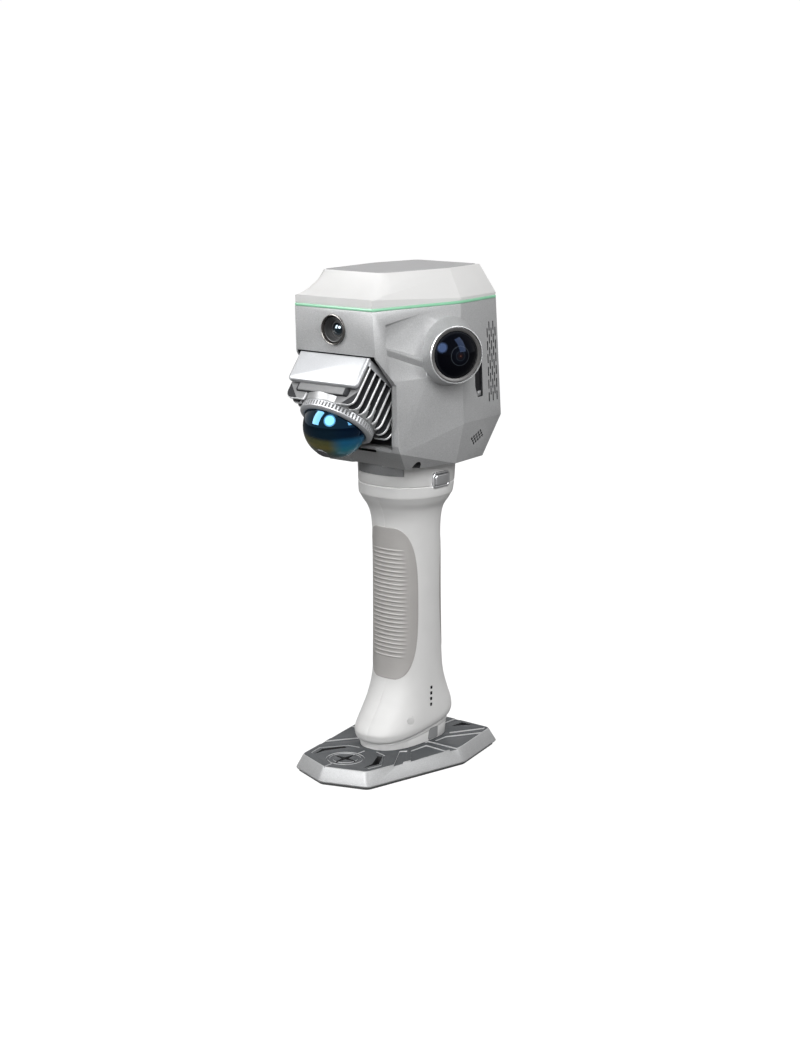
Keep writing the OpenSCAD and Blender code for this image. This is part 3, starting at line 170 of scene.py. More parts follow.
def colour_ramp(tree, share, stops, ease=False):
    """Colour that a share from 0 to 1 picks between (share, colour) stops."""
    ramp = node(tree, "ShaderNodeValToRGB", {0: share})
    if ease:
        ramp.color_ramp.interpolation = "EASE"
    elements = ramp.color_ramp.elements
    while len(elements) < len(stops):
        elements.new(0.5)
    for element, (at, colour) in zip(elements, stops):
        element.position = at
        element.color = (*colour, 1)
    return ramp.outputs[0]


def finish(name, colour, rough, metal=0.0, speck=0.0, speck_size=0.5, cloud=0.03, grain=0.0,
           grain_size=0.5, coat=0.0, level=0.5):
    """Painted, moulded or machined surface: specks in its colour, soft clouds and a fine grain."""
    paint, tree, shader = material(name, {"Metallic": metal, "Specular IOR Level": level})
    if coat:
        shader.inputs["Coat Weight"].default_value = coat
        shader.inputs["Coat Roughness"].default_value = 0.12
    clouds, specks = noise(tree, 14, 3.0), noise(tree, speck_size, 1.0)
    swing = cloud + speck
    scaled = node(tree, "ShaderNodeMath", {0: specks, 1: speck / swing}, "MULTIPLY")
    total = node(tree, "ShaderNodeMath", {0: clouds, 1: cloud / swing, 2: scaled.outputs[0]},
                 "MULTIPLY_ADD")
    dark, light = ([min(1.0, c * share) for c in colour] for share in (1 - swing, 1 + swing))
    mixed = colour_ramp(tree, total.outputs[0], [(0.3, dark), (0.7, light)])
    tree.links.new(mixed, shader.inputs["Base Color"])
    dull = node(tree, "ShaderNodeMapRange", {"Value": clouds, "To Min": rough * 0.93,
                                             "To Max": min(1.0, rough * 1.07)})
    tree.links.new(dull.outputs[0], shader.inputs["Roughness"])
    if grain:
        relief = node(tree, "ShaderNodeBump", {"Strength": grain, "Distance": 0.1 * MM,
                                               "Height": noise(tree, grain_size, 2.0)})
        tree.links.new(relief.outputs[0], shader.inputs["Normal"])
    return paint


def stray(bm):
    """Object that holds a mesh only while it is being cut."""
    data = bpy.data.meshes.new("stray")
    bm.to_mesh(data)
    bm.free()
    blank = bpy.data.objects.new("stray", data)
    scene.collection.objects.link(blank)
    return blank


def carve(bm, *tools, how="DIFFERENCE"):
    """The mesh after each tool's solid is cut away from it, or joined to it."""
    blank = stray(bm)
    cutters = [stray(tool) for tool in tools]
    for cutter in cutters:
        step = blank.modifiers.new("carve", "BOOLEAN")
        step.operation = how
        step.solver = "EXACT"
        step.object = cutter
    bpy.context.view_layer.update()
    graph = bpy.context.evaluated_depsgraph_get()
    data = bpy.data.meshes.new_from_object(blank.evaluated_get(graph))
    result = bmesh.new()
    result.from_mesh(data)
    bpy.data.meshes.remove(data)
    for old in [blank] + cutters:
        data = old.data
        bpy.data.objects.remove(old)
        bpy.data.meshes.remove(data)
    return result


def full_outline(points):
    """Closed outline from its right half, listed from front to back."""
    return list(points) + [(-p[0], p[1]) for p in reversed(points) if p[0] > 0]


def rectangle(x0, y0, x1, y1):
    """Outline of a rectangle between two opposite corners."""
    return [(x0, y0), (x1, y0), (x1, y1), (x0, y1)]


def inset_outline(points, inward):
    """Anticlockwise outline with every edge moved inwards."""
    moved = []
    for i, point in enumerate(points):
        before, here, after = (Vector(points[i - 1]), Vector(point),
                               Vector(points[(i + 1) % len(points)]))
        u, v = (here - before).normalized(), (after - here).normalized()
        n, m = Vector((-u.y, u.x)), Vector((-v.y, v.x))
        moved.append(tuple(here + inward * (n + m) / (1 + n.dot(m))))
    return moved


def slab(points, low, high, place=Matrix(), corner=0.0, steps=4):
    """Upright solid on a flat outline, its corners rounded over that length, then put in place."""
    bm = bmesh.new()
    verts = [bm.verts.new((p[0], p[1], low)) for p in points]
    bm.faces.new(verts)
    if corner:
        bmesh.ops.bevel(bm, geom=verts, offset=corner, offset_type="OFFSET", segments=steps,
                        profile=0.5, affect="VERTICES", material=-1)
    rise = bmesh.ops.extrude_face_region(bm, geom=list(bm.faces))
    top = [v for v in rise["geom"] if isinstance(v, bmesh.types.BMVert)]
    bmesh.ops.translate(bm, verts=top, vec=(0, 0, high - low))
    bmesh.ops.recalc_face_normals(bm, faces=bm.faces)
    bmesh.ops.transform(bm, matrix=place, verts=bm.verts)
    return bm


def turned(profile, place=Matrix(), steps=64, closed=True):
    """Solid of revolution about Z through a list of (radius, height) points."""
    bm = bmesh.new()
    verts = [bm.verts.new((r, 0, z)) for r, z in profile]
    pairs = list(zip(verts, verts[1:])) + ([(verts[-1], verts[0])] if closed else [])
    edges = [bm.edges.new(pair) for pair in pairs]
    bmesh.ops.spin(bm, geom=verts + edges, cent=(0, 0, 0), axis=(0, 0, 1), dvec=(0, 0, 0),
                   angle=math.tau, steps=steps, use_merge=True, use_duplicate=False)
    bmesh.ops.remove_doubles(bm, verts=bm.verts, dist=0.0005)
    bmesh.ops.recalc_face_normals(bm, faces=bm.faces)
    bmesh.ops.transform(bm, matrix=place, verts=bm.verts)
    return bm


def soften(bm, width, angle=28, steps=2, where=None):
    """Rounds the edges that turn more than that angle."""
    edges = [e for e in bm.edges if len(e.link_faces) == 2
             and e.calc_face_angle(0) > math.radians(angle) and (where is None or where(e))]
    bmesh.ops.bevel(bm, geom=edges, offset=width, offset_type="OFFSET", segments=steps,
                    profile=0.5, affect="EDGES", clamp_overlap=True, material=-1)
    return bm


def join(*meshes):
    """One mesh out of several that only lie together."""
    whole = bmesh.new()
    for bm in meshes:
        data = bpy.data.meshes.new("stray")
        bm.to_mesh(data)
        bm.free()
        whole.from_mesh(data)
        bpy.data.meshes.remove(data)
    return whole


def other_side(bm):
    """Mirror image across the plane X = 0, facing outwards."""
    twin = bm.copy()
    bmesh.ops.scale(twin, vec=(-1, 1, 1), verts=twin.verts)
    bmesh.ops.reverse_faces(twin, faces=twin.faces)
    return twin


def piece(name, bm, paints, body, nodes=(), sharp=32):
    """Finished piece: smooth but for its sharp edges, painted, on its body, for its CAD nodes."""
    bmesh.ops.scale(bm, vec=(MM, MM, MM), verts=bm.verts)
    for face in bm.faces:
        face.smooth = True
    data = bpy.data.meshes.new(name)
    bm.to_mesh(data)
    bm.free()
    data.set_sharp_from_angle(angle=math.radians(sharp))
    for paint in paints if isinstance(paints, (list, tuple)) else [paints]:
        data.materials.append(paint)
    made = bpy.data.objects.new(name, data)
    scene.collection.objects.link(made)
    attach(made, body)
    if nodes:
        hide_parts(*nodes)
    return made


def dress(paint, *nodes):
    """CAD nodes whose shape is right get their finish."""
    for name in nodes:
        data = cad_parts[name].data
        data.materials.clear()
        data.materials.append(paint)


plate_silver = finish("plate_silver", (0.38, 0.385, 0.39), 0.45, metal=0.06, speck=0.10,
                      speck_size=0.6, grain=0.25, grain_size=0.7, level=0.15)
# The top's darker grey is painted shade for the dim light and the head's shadow on it.
plate_top_shade = finish("plate_top_shade", (0.082, 0.087, 0.092), 0.5, metal=0.0, speck=0.12,
                    speck_size=0.6, grain=0.2, grain_size=0.6, level=0.12)
plate_outline = full_outline([(0, -99.5), (36.4, -86.6), (55.3, 5.1), (42.3, 62.7)])
plate_top = 13.0
plate_lean = 5.0
plate_edge = 1.4
sheet_t = 1.2
relief_deep, line_deep, slot_deep = 1.0, 0.7, 8.0
star_y, star_tip, star_waist = -70.5, 13, 2.6
ring_r = 14.5


def plate_half(inward, height):
    """Plate outline as a face whose inner part is moved in and up, or down."""
    bm = bmesh.new()
    verts = [bm.verts.new((p[0], p[1], sheet_t + plate_edge)) for p in plate_outline]
    middle = [bm.faces.new(verts if height > 0 else verts[::-1])]
    bm.normal_update()
    bmesh.ops.inset_region(bm, faces=middle, use_boundary=True, use_even_offset=True,
                           thickness=inward)
    bmesh.ops.translate(bm, verts=middle[0].verts, vec=(0, 0, height))
    return bm


plate = join(plate_half(plate_lean, plate_top - sheet_t - plate_edge),
             plate_half(plate_edge, -plate_edge))
bmesh.ops.remove_doubles(plate, verts=plate.verts, dist=0.01)
soften(plate, 3.2, angle=5, steps=6,
       where=lambda e: abs(e.verts[0].co.z - e.verts[1].co.z) > 1)
soften(plate, 0.7, angle=24, steps=4,
       where=lambda e: abs(e.verts[0].co.z - e.verts[1].co.z) < 0.1)


def milled(points, deep=relief_deep, corner=0.6):
    """Cutter for a pocket in the plate's top, and its twin on the left."""
    tool = slab(points, plate_top - deep, plate_top + 2, corner=corner, steps=2)
    return [tool, other_side(tool)]


def groove(points, width, deep):
    """Cutters for a straight-sided groove along a line of points."""
    tools = []
    for a, b in zip(points, points[1:]):
        a, b = Vector(a), Vector(b)
        side = (b - a).normalized().orthogonal() * width / 2
        along = (b - a).normalized() * width / 2
        tools.append(slab([tuple(p) for p in (a - along - side, b + along - side,
                                              b + along + side, a - along + side)][::-1],
                          plate_top - deep, plate_top + 2))
    return tools


pockets = [
    [(20.5, -31.5), (24.4, -27), (39.6, -50.5), (37.6, -59)],
    [(26.4, -25), (27.2, -7.6), (47.3, -8.6), (40.8, -43)],
    [(25.6, 4.6), (25.6, 18.6), (41, 44.5), (47.6, 8.2)],
    [(22, -4), (22, 0.8), (51, 1.6), (50, -5.2)],
    rectangle(3.6, 40, 9.4, 58),
    [(21.5, 27.5), (24.3, 25), (38.5, 48), (36.2, 54.5)],
]
openings = [
    [(15.3, -51.2), (18.9, -49.6), (27.8, -64.5), (24.6, -78), (23.6, -67)],
    [(13.4, 41), (14, 53.5), (23.6, 53.5)],
]
tools = []
for outline in pockets:
    tools += milled(outline)
for outline in openings:
    tools += milled(outline, deep=slot_deep, corner=0.5)
outer_line = [(9, -44.6), (17.8, -46.6), (31.2, -64.6), (28.2, -76.6)]
for line in (outer_line, [(-x, y) for x, y in outer_line]):
    tools += groove(line, 1.1, line_deep)
for line in ([(0, -97), (0, star_y - ring_r)], [(0, star_y + ring_r), (0, -49)]):
    tools += groove(line, 1.3, line_deep)
star = [(r * math.cos(i * math.pi / 4), star_y + r * math.sin(i * math.pi / 4))
        for i, r in enumerate([star_tip, star_waist] * 4)]
tools.append(slab(star, plate_top - slot_deep, plate_top + 2))
for inner, outer, deep in ((ring_r - 1.3, ring_r, line_deep), (ring_r - 5.2, ring_r - 2.6, 0.5)):
    tools.append(turned(rectangle(inner, plate_top - deep, outer, plate_top + 2),
                        Matrix.Translation((0, star_y, 0)), steps=48))
plate = carve(plate, *tools)
soften(plate, 0.42, angle=40, steps=2,
       where=lambda e: min(v.co.z for v in e.verts) > plate_top - 4)
inner_edge = inset_outline(plate_outline, plate_lean + 0.2)


def inside(outline, x, y):
    """True where a point lies within a convex anticlockwise outline."""
    return all((b[0] - a[0]) * (y - a[1]) - (b[1] - a[1]) * (x - a[0]) > 0
               for a, b in zip(outline, outline[1:] + outline[:1]))


relief_floor = plate_top - 1.3
# Faces below the relief's floor get near-black painted shade; the relief's upright walls get a
# light grey painted highlight.
for face in plate.faces:
    centre = face.calc_center_median()
    if centre.z > 4 and inside(inner_edge, centre.x, centre.y):
        face.material_index = 2 if centre.z < relief_floor else 1 if face.normal.z > 0.95 else 3
# Light grey painted highlight on the relief's walls, near-black painted shade in the deep star and
# slots.
ridge_highlight = finish("ridge_highlight", (0.50, 0.505, 0.51), 0.3, metal=0.2, cloud=0.02)
pit_shade_black = finish("pit_shade_black", (0.012, 0.012, 0.013), 0.7, cloud=0.1, level=0.1)
piece("base_casting", plate, [plate_silver, plate_top_shade, pit_shade_black, ridge_highlight], "scanner",
      ["base_plate"], sharp=25)
dress(finish("sheet_rubber", (0.045, 0.045, 0.047), 0.75, speck=0.1, grain=0.5), "rubber_foot")
dress(finish("dark_steel", (0.16, 0.16, 0.17), 0.35, metal=0.9, speck=0.05, grain=0.1),
      "base_screws", "case_screws")
dress(finish("turned_brass", (0.62, 0.44, 0.16), 0.28, metal=1.0, cloud=0.06), "tripod_insert")

# Lower band of the handle: a moulded white ring screwed down on the plate, with a shoulder line.
# The charging port sits in its right side, behind a small grey door hinged along its rear edge.
white_shell = finish("white_shell", (0.70, 0.70, 0.695), 0.5, cloud=0.015, grain=0.08,
                     grain_size=0.25, level=0.12)
seam_z = 24.7
seam_rise = 0.15


def on_section(section, turn, out=0.0):
    """Point of a section of the handle, at an angle from the right (0) towards the back (90).

    A section is its height, its rise to the back, its half width, its reach to the front and to
    the back, and how square its front and its back half are.
    """
    z, slope, half, front, rear, front_n, rear_n = section
    c, s = math.cos(turn), math.sin(turn)
    power = 2 / (front_n if s < 0 else rear_n)
    y = ((front if s < 0 else rear) + out) * math.copysign(abs(s) ** power, s)
    return Vector(((half + out) * math.copysign(abs(c) ** power, c), y, z + slope * y))


def oval(*section, out=0.0):
    """Points all round a section, from its front."""
    return [on_section(section, math.tau * i / 96 - math.pi / 2, out) for i in range(96)]


def loft(rings, capped=True):
    """Skin through rings of points, closed at both ends if asked."""
    bm = bmesh.new()
    loops = []
    for points in rings:
        verts = [bm.verts.new(p) for p in points]
        loops.append([bm.edges.new(pair) for pair in zip(verts, verts[1:] + verts[:1])])
    for low, high in zip(loops, loops[1:]):
        bmesh.ops.bridge_loops(bm, edges=low + high)
    if capped:
        for loop in (loops[0], loops[-1]):
            bmesh.ops.contextual_create(bm, geom=loop)
    bmesh.ops.recalc_face_normals(bm, faces=bm.faces)
    return bm


band_low = (13.0, 0.0, 22.2, 42.0, 32.6, 2.6, 3.2)
band_top = (seam_z, seam_rise, 23.6, 43.0, 33.9, 2.6, 3.2)


def band_ring(share, out):
    """Ring of the band part way up, moved outwards."""
    return oval(*[a + (b - a) * share for a, b in zip(band_low, band_top)], out=out)


shoulder = 0.72
band = loft([band_ring(s, out) for s, out in (
    (0.0, -0.35), (0.03, 0.0), (shoulder - 0.04, 0.0), (shoulder - 0.02, -0.12),
    (shoulder, -0.15), (shoulder + 0.02, 0.25), (shoulder + 0.06, 0.42), (0.985, 0.25),
    (1.0, -0.1))])


def placed(spot, *turns):
    """Frame at a point, turned by each number of degrees about its axis, one after the other."""
    place = Matrix.Translation(spot)
    for degrees, axis in turns:
        place = place @ Matrix.Rotation(math.radians(degrees), 4, axis)
    return place


def centred(width, height):
    """Outline of a rectangle round the origin."""
    return rectangle(-width / 2, -height / 2, width / 2, height / 2)


port_w, port_h, port_t = 11.0, 9.0, 1.8
door_corner, door_gap = 1.5, 0.3
port_place = placed((22.9, 6.2, 18.5), (90, "Y"))
doorway = slab(centred(port_h + 2 * door_gap, port_w + 2 * door_gap), -12, 4, port_place,
               corner=door_corner + door_gap)
band = carve(band, doorway)
soften(band, 0.15, angle=50, steps=2)
piece("foot_ring", band, white_shell, "scanner", ["foot_band"], sharp=38)

door = slab(centred(port_h, port_w), -port_t, 0, port_place, corner=door_corner)
soften(door, 0.35, angle=50, steps=3)
door_grey = finish("door_grey", (0.27, 0.275, 0.28), 0.5, cloud=0.03, grain=0.15, level=0.2)
piece("port_door", door, door_grey, "port_cover", ["port_cover"])
dress(finish("socket_metal", (0.45, 0.45, 0.46), 0.3, metal=0.9), "charge_port", "rear_socket")

# Handle: two shells moulded in satin white plastic, joined down the front and the back.
# They flare into the foot and the collar, and hold the battery cells between them.
foot_w, foot_front, foot_rear = 54.0, 46.0, 36.2
grip_w, grip_front, grip_rear = 48.0, 23.0, 28.2
collar_w, collar_z = 69.2, 206.0
head_z0 = 233.0
stations = [
    (seam_z, seam_rise, foot_w / 2 - 3, foot_front - 2.6, foot_rear - 1.9, 2.6, 3.2),
    (seam_z + 1.6, seam_rise, foot_w / 2 - 1.2, foot_front - 1, foot_rear - 0.9, 2.6, 3.3),
    (seam_z + 4.6, seam_rise, foot_w / 2 - 0.2, foot_front - 0.2, foot_rear - 0.2, 2.6, 3.4),
    (seam_z + 8, seam_rise * 0.93, foot_w / 2, foot_front - 0.6, foot_rear, 2.6, 3.4),
    (seam_z + 15, seam_rise * 0.75, foot_w / 2 - 0.5, foot_front - 6.5, foot_rear - 0.4, 2.5, 3.2),
    (seam_z + 25, seam_rise * 0.5, (foot_w + grip_w) / 4, grip_front + 8,
     (foot_rear + grip_rear * 2) / 3 + 2, 2.4, 3),
    (seam_z + 38, seam_rise * 0.2, grip_w / 2 + 0.8, grip_front + 1.6, grip_rear + 2, 2.3, 2.6),
    (seam_z + 54, 0, grip_w / 2 + 0.3, grip_front, grip_rear + 0.8, 2.3, 2.4),
    (seam_z + 96, 0, grip_w / 2, grip_front, grip_rear, 2.3, 2.3),
    (collar_z - 48, 0, grip_w / 2, grip_front + 0.3, grip_rear - 0.6, 2.3, 2.3),
    (collar_z - 29, 0, grip_w / 2 + 0.2, grip_front + 1, grip_rear - 1.4, 2.3, 2.3),
    (collar_z - 18, 0, grip_w / 2 + 1, grip_front + 2, grip_rear - 1, 2.3, 2.3),
    (collar_z - 10, 0, collar_w / 2 - 7.5, grip_front + 4.6, grip_rear + 0.2, 2.3, 2.3),
    (collar_z - 4, 0, collar_w / 2 - 3.6, grip_front + 8, grip_rear + 3.2, 2.3, 2.3),
    (collar_z, 0, collar_w / 2 - 1.4, grip_front + 10.2, grip_rear + 5.4, 2.3, 2.3),
]


def between(k, u):
    """Station a share u of the way from station k to the next, on a smooth curve."""
    last = len(stations) - 1
    a, b, c, d = (stations[min(max(i, 0), last)] for i in range(k - 1, k + 3))
    return [q + 0.5 * u * ((r - p) + u * ((2 * p - 5 * q + 4 * r - s) + u * (3 * (q - r) + s - p)))
            for p, q, r, s in zip(a, b, c, d)]


def station_at(z):
    """Station of the handle at that height."""
    k = max(i for i in range(len(stations) - 1) if stations[i][0] <= z or i == 0)
    return between(k, (z - stations[k][0]) / (stations[k + 1][0] - stations[k][0]))


def handle_point(z, angle, out):
    """Point on the handle's face, at degrees round from the front."""
    s = station_at(z)
    s[0] = z
    return on_section(s, math.radians(angle - 90), out)


right_shell = bmesh.new()
bmesh.ops.create_grid(right_shell, x_segments=48, y_segments=6 * (len(stations) - 1), size=1)
for v in right_shell.verts:
    along = (v.co.y + 1) / 2 * (len(stations) - 1)
    k = min(int(along), len(stations) - 2)
    turn = v.co.x * math.pi / 2
    v.co = on_section(between(k, along - k), turn)
    v.co.x = max(v.co.x, 0.03)
bmesh.ops.recalc_face_normals(right_shell, faces=right_shell.faces)
middle = min(right_shell.faces, key=lambda f: abs(f.calc_center_median().z - 120)
             + abs(f.calc_center_median().y))
if middle.normal.x < 0:
    bmesh.ops.reverse_faces(right_shell, faces=right_shell.faces)
bmesh.ops.solidify(right_shell, geom=list(right_shell.faces), thickness=2.2)
left_shell = other_side(right_shell)


def drum(radius, low, high, place=Matrix(), sides=64):
    """Round solid about Z between two heights."""
    bm = bmesh.new()
    shift = Matrix.Translation((0, 0, (low + high) / 2))
    bmesh.ops.create_cone(bm, cap_ends=True, segments=sides, radius1=radius, radius2=radius,
                          depth=high - low, matrix=place @ shift)
    return bm


led_z, led_y, led_pitch, led_set_back, led_r = 43.5, -0.5, 4.3, 0.5, 1.25
check_z, check_turn, check_r = 38.0, 62.0, 3.0
check_point = handle_point(check_z, check_turn, 0)
check_place = placed(check_point, (check_turn, "Z"), (90, "X"))
light_tools = []
lights = []
for i in range(4):
    z = led_z + led_pitch * i
    place = placed((station_at(z)[2], led_y + led_set_back * i, z), (90, "Y"))
    window = centred(2 * led_r, 2 * led_r)
    light_tools.append(slab(window, -1.2, 2, place, corner=0.3, steps=2))
    lights.append(slab([(x * 0.97, y * 0.97) for x, y in window], -1.5, -0.05, place,
                       corner=0.28, steps=2))
right_shell = carve(right_shell, *light_tools)
right_shell = carve(right_shell, drum(check_r + 0.12, -6, 4, check_place, sides=40))
for side, shell in (("right", right_shell), ("left", left_shell)):
    soften(shell, 0.08, angle=55, steps=2)
    piece(side + "_shell", shell, white_shell, "scanner",
          ["handle_shell_" + side], sharp=40)
light_black = finish("light_black", (0.006, 0.006, 0.008), 0.4, cloud=0.1, level=0.15)
piece("charge_lights", join(*lights), light_black, "scanner", ["led_light_pipes"])
button = drum(check_r, -4, 0.0, check_place, sides=40)
soften(button, 0.08, angle=50, steps=2)
button_white = finish("button_white", (0.65, 0.65, 0.645), 0.5, cloud=0.02, level=0.3)
piece("check_button", button, button_white, "battery_button",
      ["battery_button"])

# Grip pads: soft warm-grey rubber moulded over the shells, at the palm and under the fingers.
# A row of fine ribs runs across the front pad and fades out towards its sides.
pad_rubber = finish("pad_rubber", (0.365, 0.353, 0.342), 0.62, cloud=0.02, speck=0.02,
                    speck_size=0.4, grain=0.35, grain_size=0.3, level=0.35)
pad_round, pad_proud, pad_sunk = 2.9, 0.16, 0.5
edge_w, end_w = 0.07, 0.0105  # shares of the half width and the half height that turn in
plain_end = 0.14  # share of the rows beyond the ribs at either end
rib_reach, rib_fade = 0.64, 0.22  # shares of the pad's half width


def pad(centre, half, z0, z1, rib_low=0.0, rib_high=0.0, pitch=3.3, rib_h=0.5):
    """Pad laid on the handle: rounded outline, edge turned in, ribs between two heights."""
    bm = bmesh.new()
    bmesh.ops.create_grid(bm, x_segments=56, y_segments=300 if rib_high else 110, size=1)
    middle, tall = (z0 + z1) / 2, (z1 - z0) / 2
    low, high = (rib_low - middle) / tall, (rib_high - middle) / tall
    for v in bm.verts:
        t = (v.co.y + 1) / 2
        if not rib_high:
            w = -math.cos(t * math.pi)
        elif t < plain_end:
            w = low + (-1 - low) * (1 - t / plain_end) ** 1.6
        elif t > 1 - plain_end:
            w = high + (1 - high) * ((t - 1 + plain_end) / plain_end) ** 1.6
        else:
            w = low + (high - low) * (t - plain_end) / (1 - 2 * plain_end)
        w *= 0.9985  # so that its end rows keep some width
        spread = half * (1 - abs(w) ** pad_round) ** (1 / pad_round)
        z = middle + w * tall
        across = abs(v.co.x)
        edge = max(0.0, (across - 1 + edge_w) / edge_w)
        end = max(0.0, (abs(w) - 0.9985 + end_w) / end_w)
        out = pad_proud - pad_sunk * min(1.0, edge ** 3 + end ** 3)
        if rib_low <= z <= rib_high and across < rib_reach:
            wave = max(0.0, math.cos((z - rib_low) / pitch * math.tau - math.pi)) ** 2.2
            fade = min(1.0, (rib_reach - across) / rib_fade)
            out += rib_h * wave * fade * fade * (3 - 2 * fade)
        v.co = handle_point(z, centre + spread * v.co.x, out)
    bmesh.ops.recalc_face_normals(bm, faces=bm.faces)
    first = max(bm.faces, key=lambda f: f.calc_area())
    if first.normal.y * (1 if centre else -1) < 0:
        bmesh.ops.reverse_faces(bm, faces=bm.faces)
    bmesh.ops.solidify(bm, geom=list(bm.faces), thickness=0.8)
    return bm


piece("finger_pad", pad(0, 66, 65, 183, 81, 167), pad_rubber, "scanner",
      ["front_grip"], sharp=60)
piece("palm_pad", pad(180, 64, 78, 178), pad_rubber, "scanner",
      ["rear_grip"], sharp=60)

# Battery: four wrapped cells in their frame, and the small board that drives the charge lights.
# All of it lies inside the closed handle.
dress(finish("cell_sleeve", (0.05, 0.16, 0.42), 0.35, cloud=0.04), "battery_cells")
dress(finish("frame_black", (0.03, 0.03, 0.032), 0.5, grain=0.2), "cell_frame", "contact_block",
      "speaker", "fan_frame", "fan_rotor")
dress(finish("board_green", (0.02, 0.11, 0.06), 0.4, speck=0.2, speck_size=1.2), "battery_board",
      "antenna_board", "main_board")

# Collar: the white neck that takes the head, with a band line round it and a cut-out in front.
# The grey adapter block of the head fills the cut-out and locks on the contact block inside.
adapter_grey = finish("adapter_grey", (0.19, 0.195, 0.20), 0.45, metal=0.1, speck=0.08,
                      speck_size=0.6, grain=0.2, level=0.25)
neck = [
    (collar_z, -1.4, 10.2, 5.4), (collar_z + 0.25, -1.15, 10.45, 5.7),
    (collar_z + 0.9, -0.85, 10.65, 6.0), (collar_z + 2.0, -0.62, 10.75, 6.5),
    (collar_z + 4, -0.5, 10.8, 7.2), (collar_z + 8.6, -0.4, 10.9, 8.45),
    (collar_z + 8.8, -0.55, 10.75, 8.35), (collar_z + 9.1, -1.0, 10.3, 8.0),
    (collar_z + 9.5, -1.0, 10.3, 8.1), (collar_z + 9.8, -0.5, 10.8, 8.6),
    (collar_z + 10.1, -0.36, 10.93, 8.8), (head_z0 - 4, -0.05, 11.15, 10.1),
    (head_z0, 0, 11.2, 10.4),
]
collar = loft([oval(z, 0, collar_w / 2 + side, grip_front + front, grip_rear + rear, 2.3, 2.3)
               for z, side, front, rear in neck])
inner_neck = loft([oval(z, 0, collar_w / 2 - 4.4, grip_front + 7.2, grip_rear + 2.4, 2.3, 2.3)
                   for z in (collar_z - 1, head_z0 + 1)])
notch_w, notch_z = 44.0, head_z0 - 9.5
button_w, button_h = 15.0, 8.0
release_place = placed((collar_w / 2 + 0.6, 0, 219.5), (90, "Y"))


def rounded_bar(h, w, low, high, corner):
    """Bar with rounded corners across the release button's axis."""
    return slab(centred(h, w), low, high, release_place, corner=corner, steps=6)


notch = slab(rectangle(-notch_w / 2, -60, notch_w / 2, 0), notch_z, notch_z + 20)
seat = rounded_bar(button_h + 4.1, button_w + 4.1, -7, 6, 3.2)
collar = carve(collar, inner_neck, notch, seat, other_side(seat))
soften(collar, 0.35, angle=50, steps=3)
piece("neck_ring", collar, white_shell, "scanner", ["collar"], sharp=35)

adapter = loft([oval(z, 0, collar_w / 2 - 0.4 + side, grip_front + 10.8 + side, grip_rear + 9.5,
                     2.3, 2.3) for z, side in ((notch_z + 0.2, -0.4), (notch_z + 0.6, -0.05),
                                               (head_z0 - 0.02, 0.3))])
adapter_half = notch_w / 2 - 0.25
adapter = carve(adapter, slab(rectangle(-adapter_half, -60, adapter_half, 2), notch_z - 1,
                              head_z0 + 1), how="INTERSECT")
soften(adapter, 0.3, angle=50, steps=2)
piece("adapter_front", adapter, adapter_grey, "scanner")
dress(adapter_grey, "handle_adapter")

# Release buttons: satin silver caps that slide in silver bezels, one on each side of the collar.
button_silver = finish("button_silver", (0.56, 0.565, 0.575), 0.3, metal=0.85, speck=0.04,
                       grain=0.1)
bezel = carve(rounded_bar(button_h + 4, button_w + 4, -6.3, 0, 3.1),
              rounded_bar(button_h + 0.6, button_w + 0.6, -4.9, 3, 1.9))
soften(bezel, 0.55, angle=50, steps=4)


def both_sides(bm):
    """The mesh and its mirror image as one."""
    return join(other_side(bm), bm)


piece("release_frames", both_sides(bezel), button_silver, "scanner",
      ["release_bezels"], sharp=50)
cap = rounded_bar(button_h, button_w, -2.3, 0.8, 1.7)
soften(cap, 0.8, angle=50, steps=5)
piece("release_cap_left", other_side(cap), button_silver, "release_button_left",
      ["release_button_left"], sharp=50)
piece("release_cap_right", cap, button_silver, "release_button_right",
      ["release_button_right"], sharp=50)
dress(finish("spring_steel", (0.5, 0.5, 0.52), 0.25, metal=1.0), "release_springs")

# Head body: a magnesium shell in silver paint with a fine sparkle, flat facets and soft edges.
# Its front is open for the lidar; bosses, vents, slots and a speaker grille are cut in its sides.
body_silver = finish("body_silver", (0.40, 0.405, 0.41), 0.40, metal=0.14, speck=0.14,
                     speck_size=0.55, cloud=0.02, grain=0.35, grain_size=0.5, level=0.3)
# Near-black painted shade for the inside of the head's bay and openings.
painted_shade_dark = finish("painted_shade_dark", (0.03, 0.031, 0.034), 0.6, speck=0.1, grain=0.3, level=0.15)
head_top, brow_z, girth_z = 350.0, 318.2, 262.0
rim = [(36.5, -80.8), (47.2, 6.0), (39.4, 58.5)]
rim_outline = full_outline(rim)
foot = [(36.5, -44), (47.9, 0.3), (42.8, 39.2)]
widest = (50.7, 6, girth_z)
key_points = [(x, y, head_top) for x, y in rim]
key_points += [(37.8, -78.4, brow_z), (43.3, -58, 247.2), widest, (43.4, 61, girth_z)]
key_points += [(x, y, head_z0) for x, y in foot]


def facetted(points):
    """Solid with flat facets round points given for the right side, the same on the left."""
    bm = bmesh.new()
    for x, y, z in points:
        bm.verts.new((x, y, z))
        bm.verts.new((-x, y, z))
    bmesh.ops.convex_hull(bm, input=bm.verts)
    bmesh.ops.dissolve_limit(bm, angle_limit=math.radians(1.6), verts=bm.verts, edges=bm.edges)
    bmesh.ops.recalc_face_normals(bm, faces=bm.faces)
    return bm


body = facetted(key_points)

lidar_tilt, lidar_w = 37.3, 65.0
lidar_y, lidar_z = -54.2, 298.6
lidar_place = placed((0, lidar_y, lidar_z), (180 - lidar_tilt, "X"))
tilt = math.radians(lidar_tilt)


def side_point(y, w):
    """Side view, as (forward-back, height), of a point of the lidar's frame."""
    return (lidar_y - y * math.cos(tilt) - w * math.sin(tilt),
            lidar_z + y * math.sin(tilt) - w * math.cos(tilt))


across = placed((0, 0, 0), (90, "Z"), (90, "X"))
chin_z, lip_y = 249.5, -76.4
bay_half = lidar_w / 2 + 4


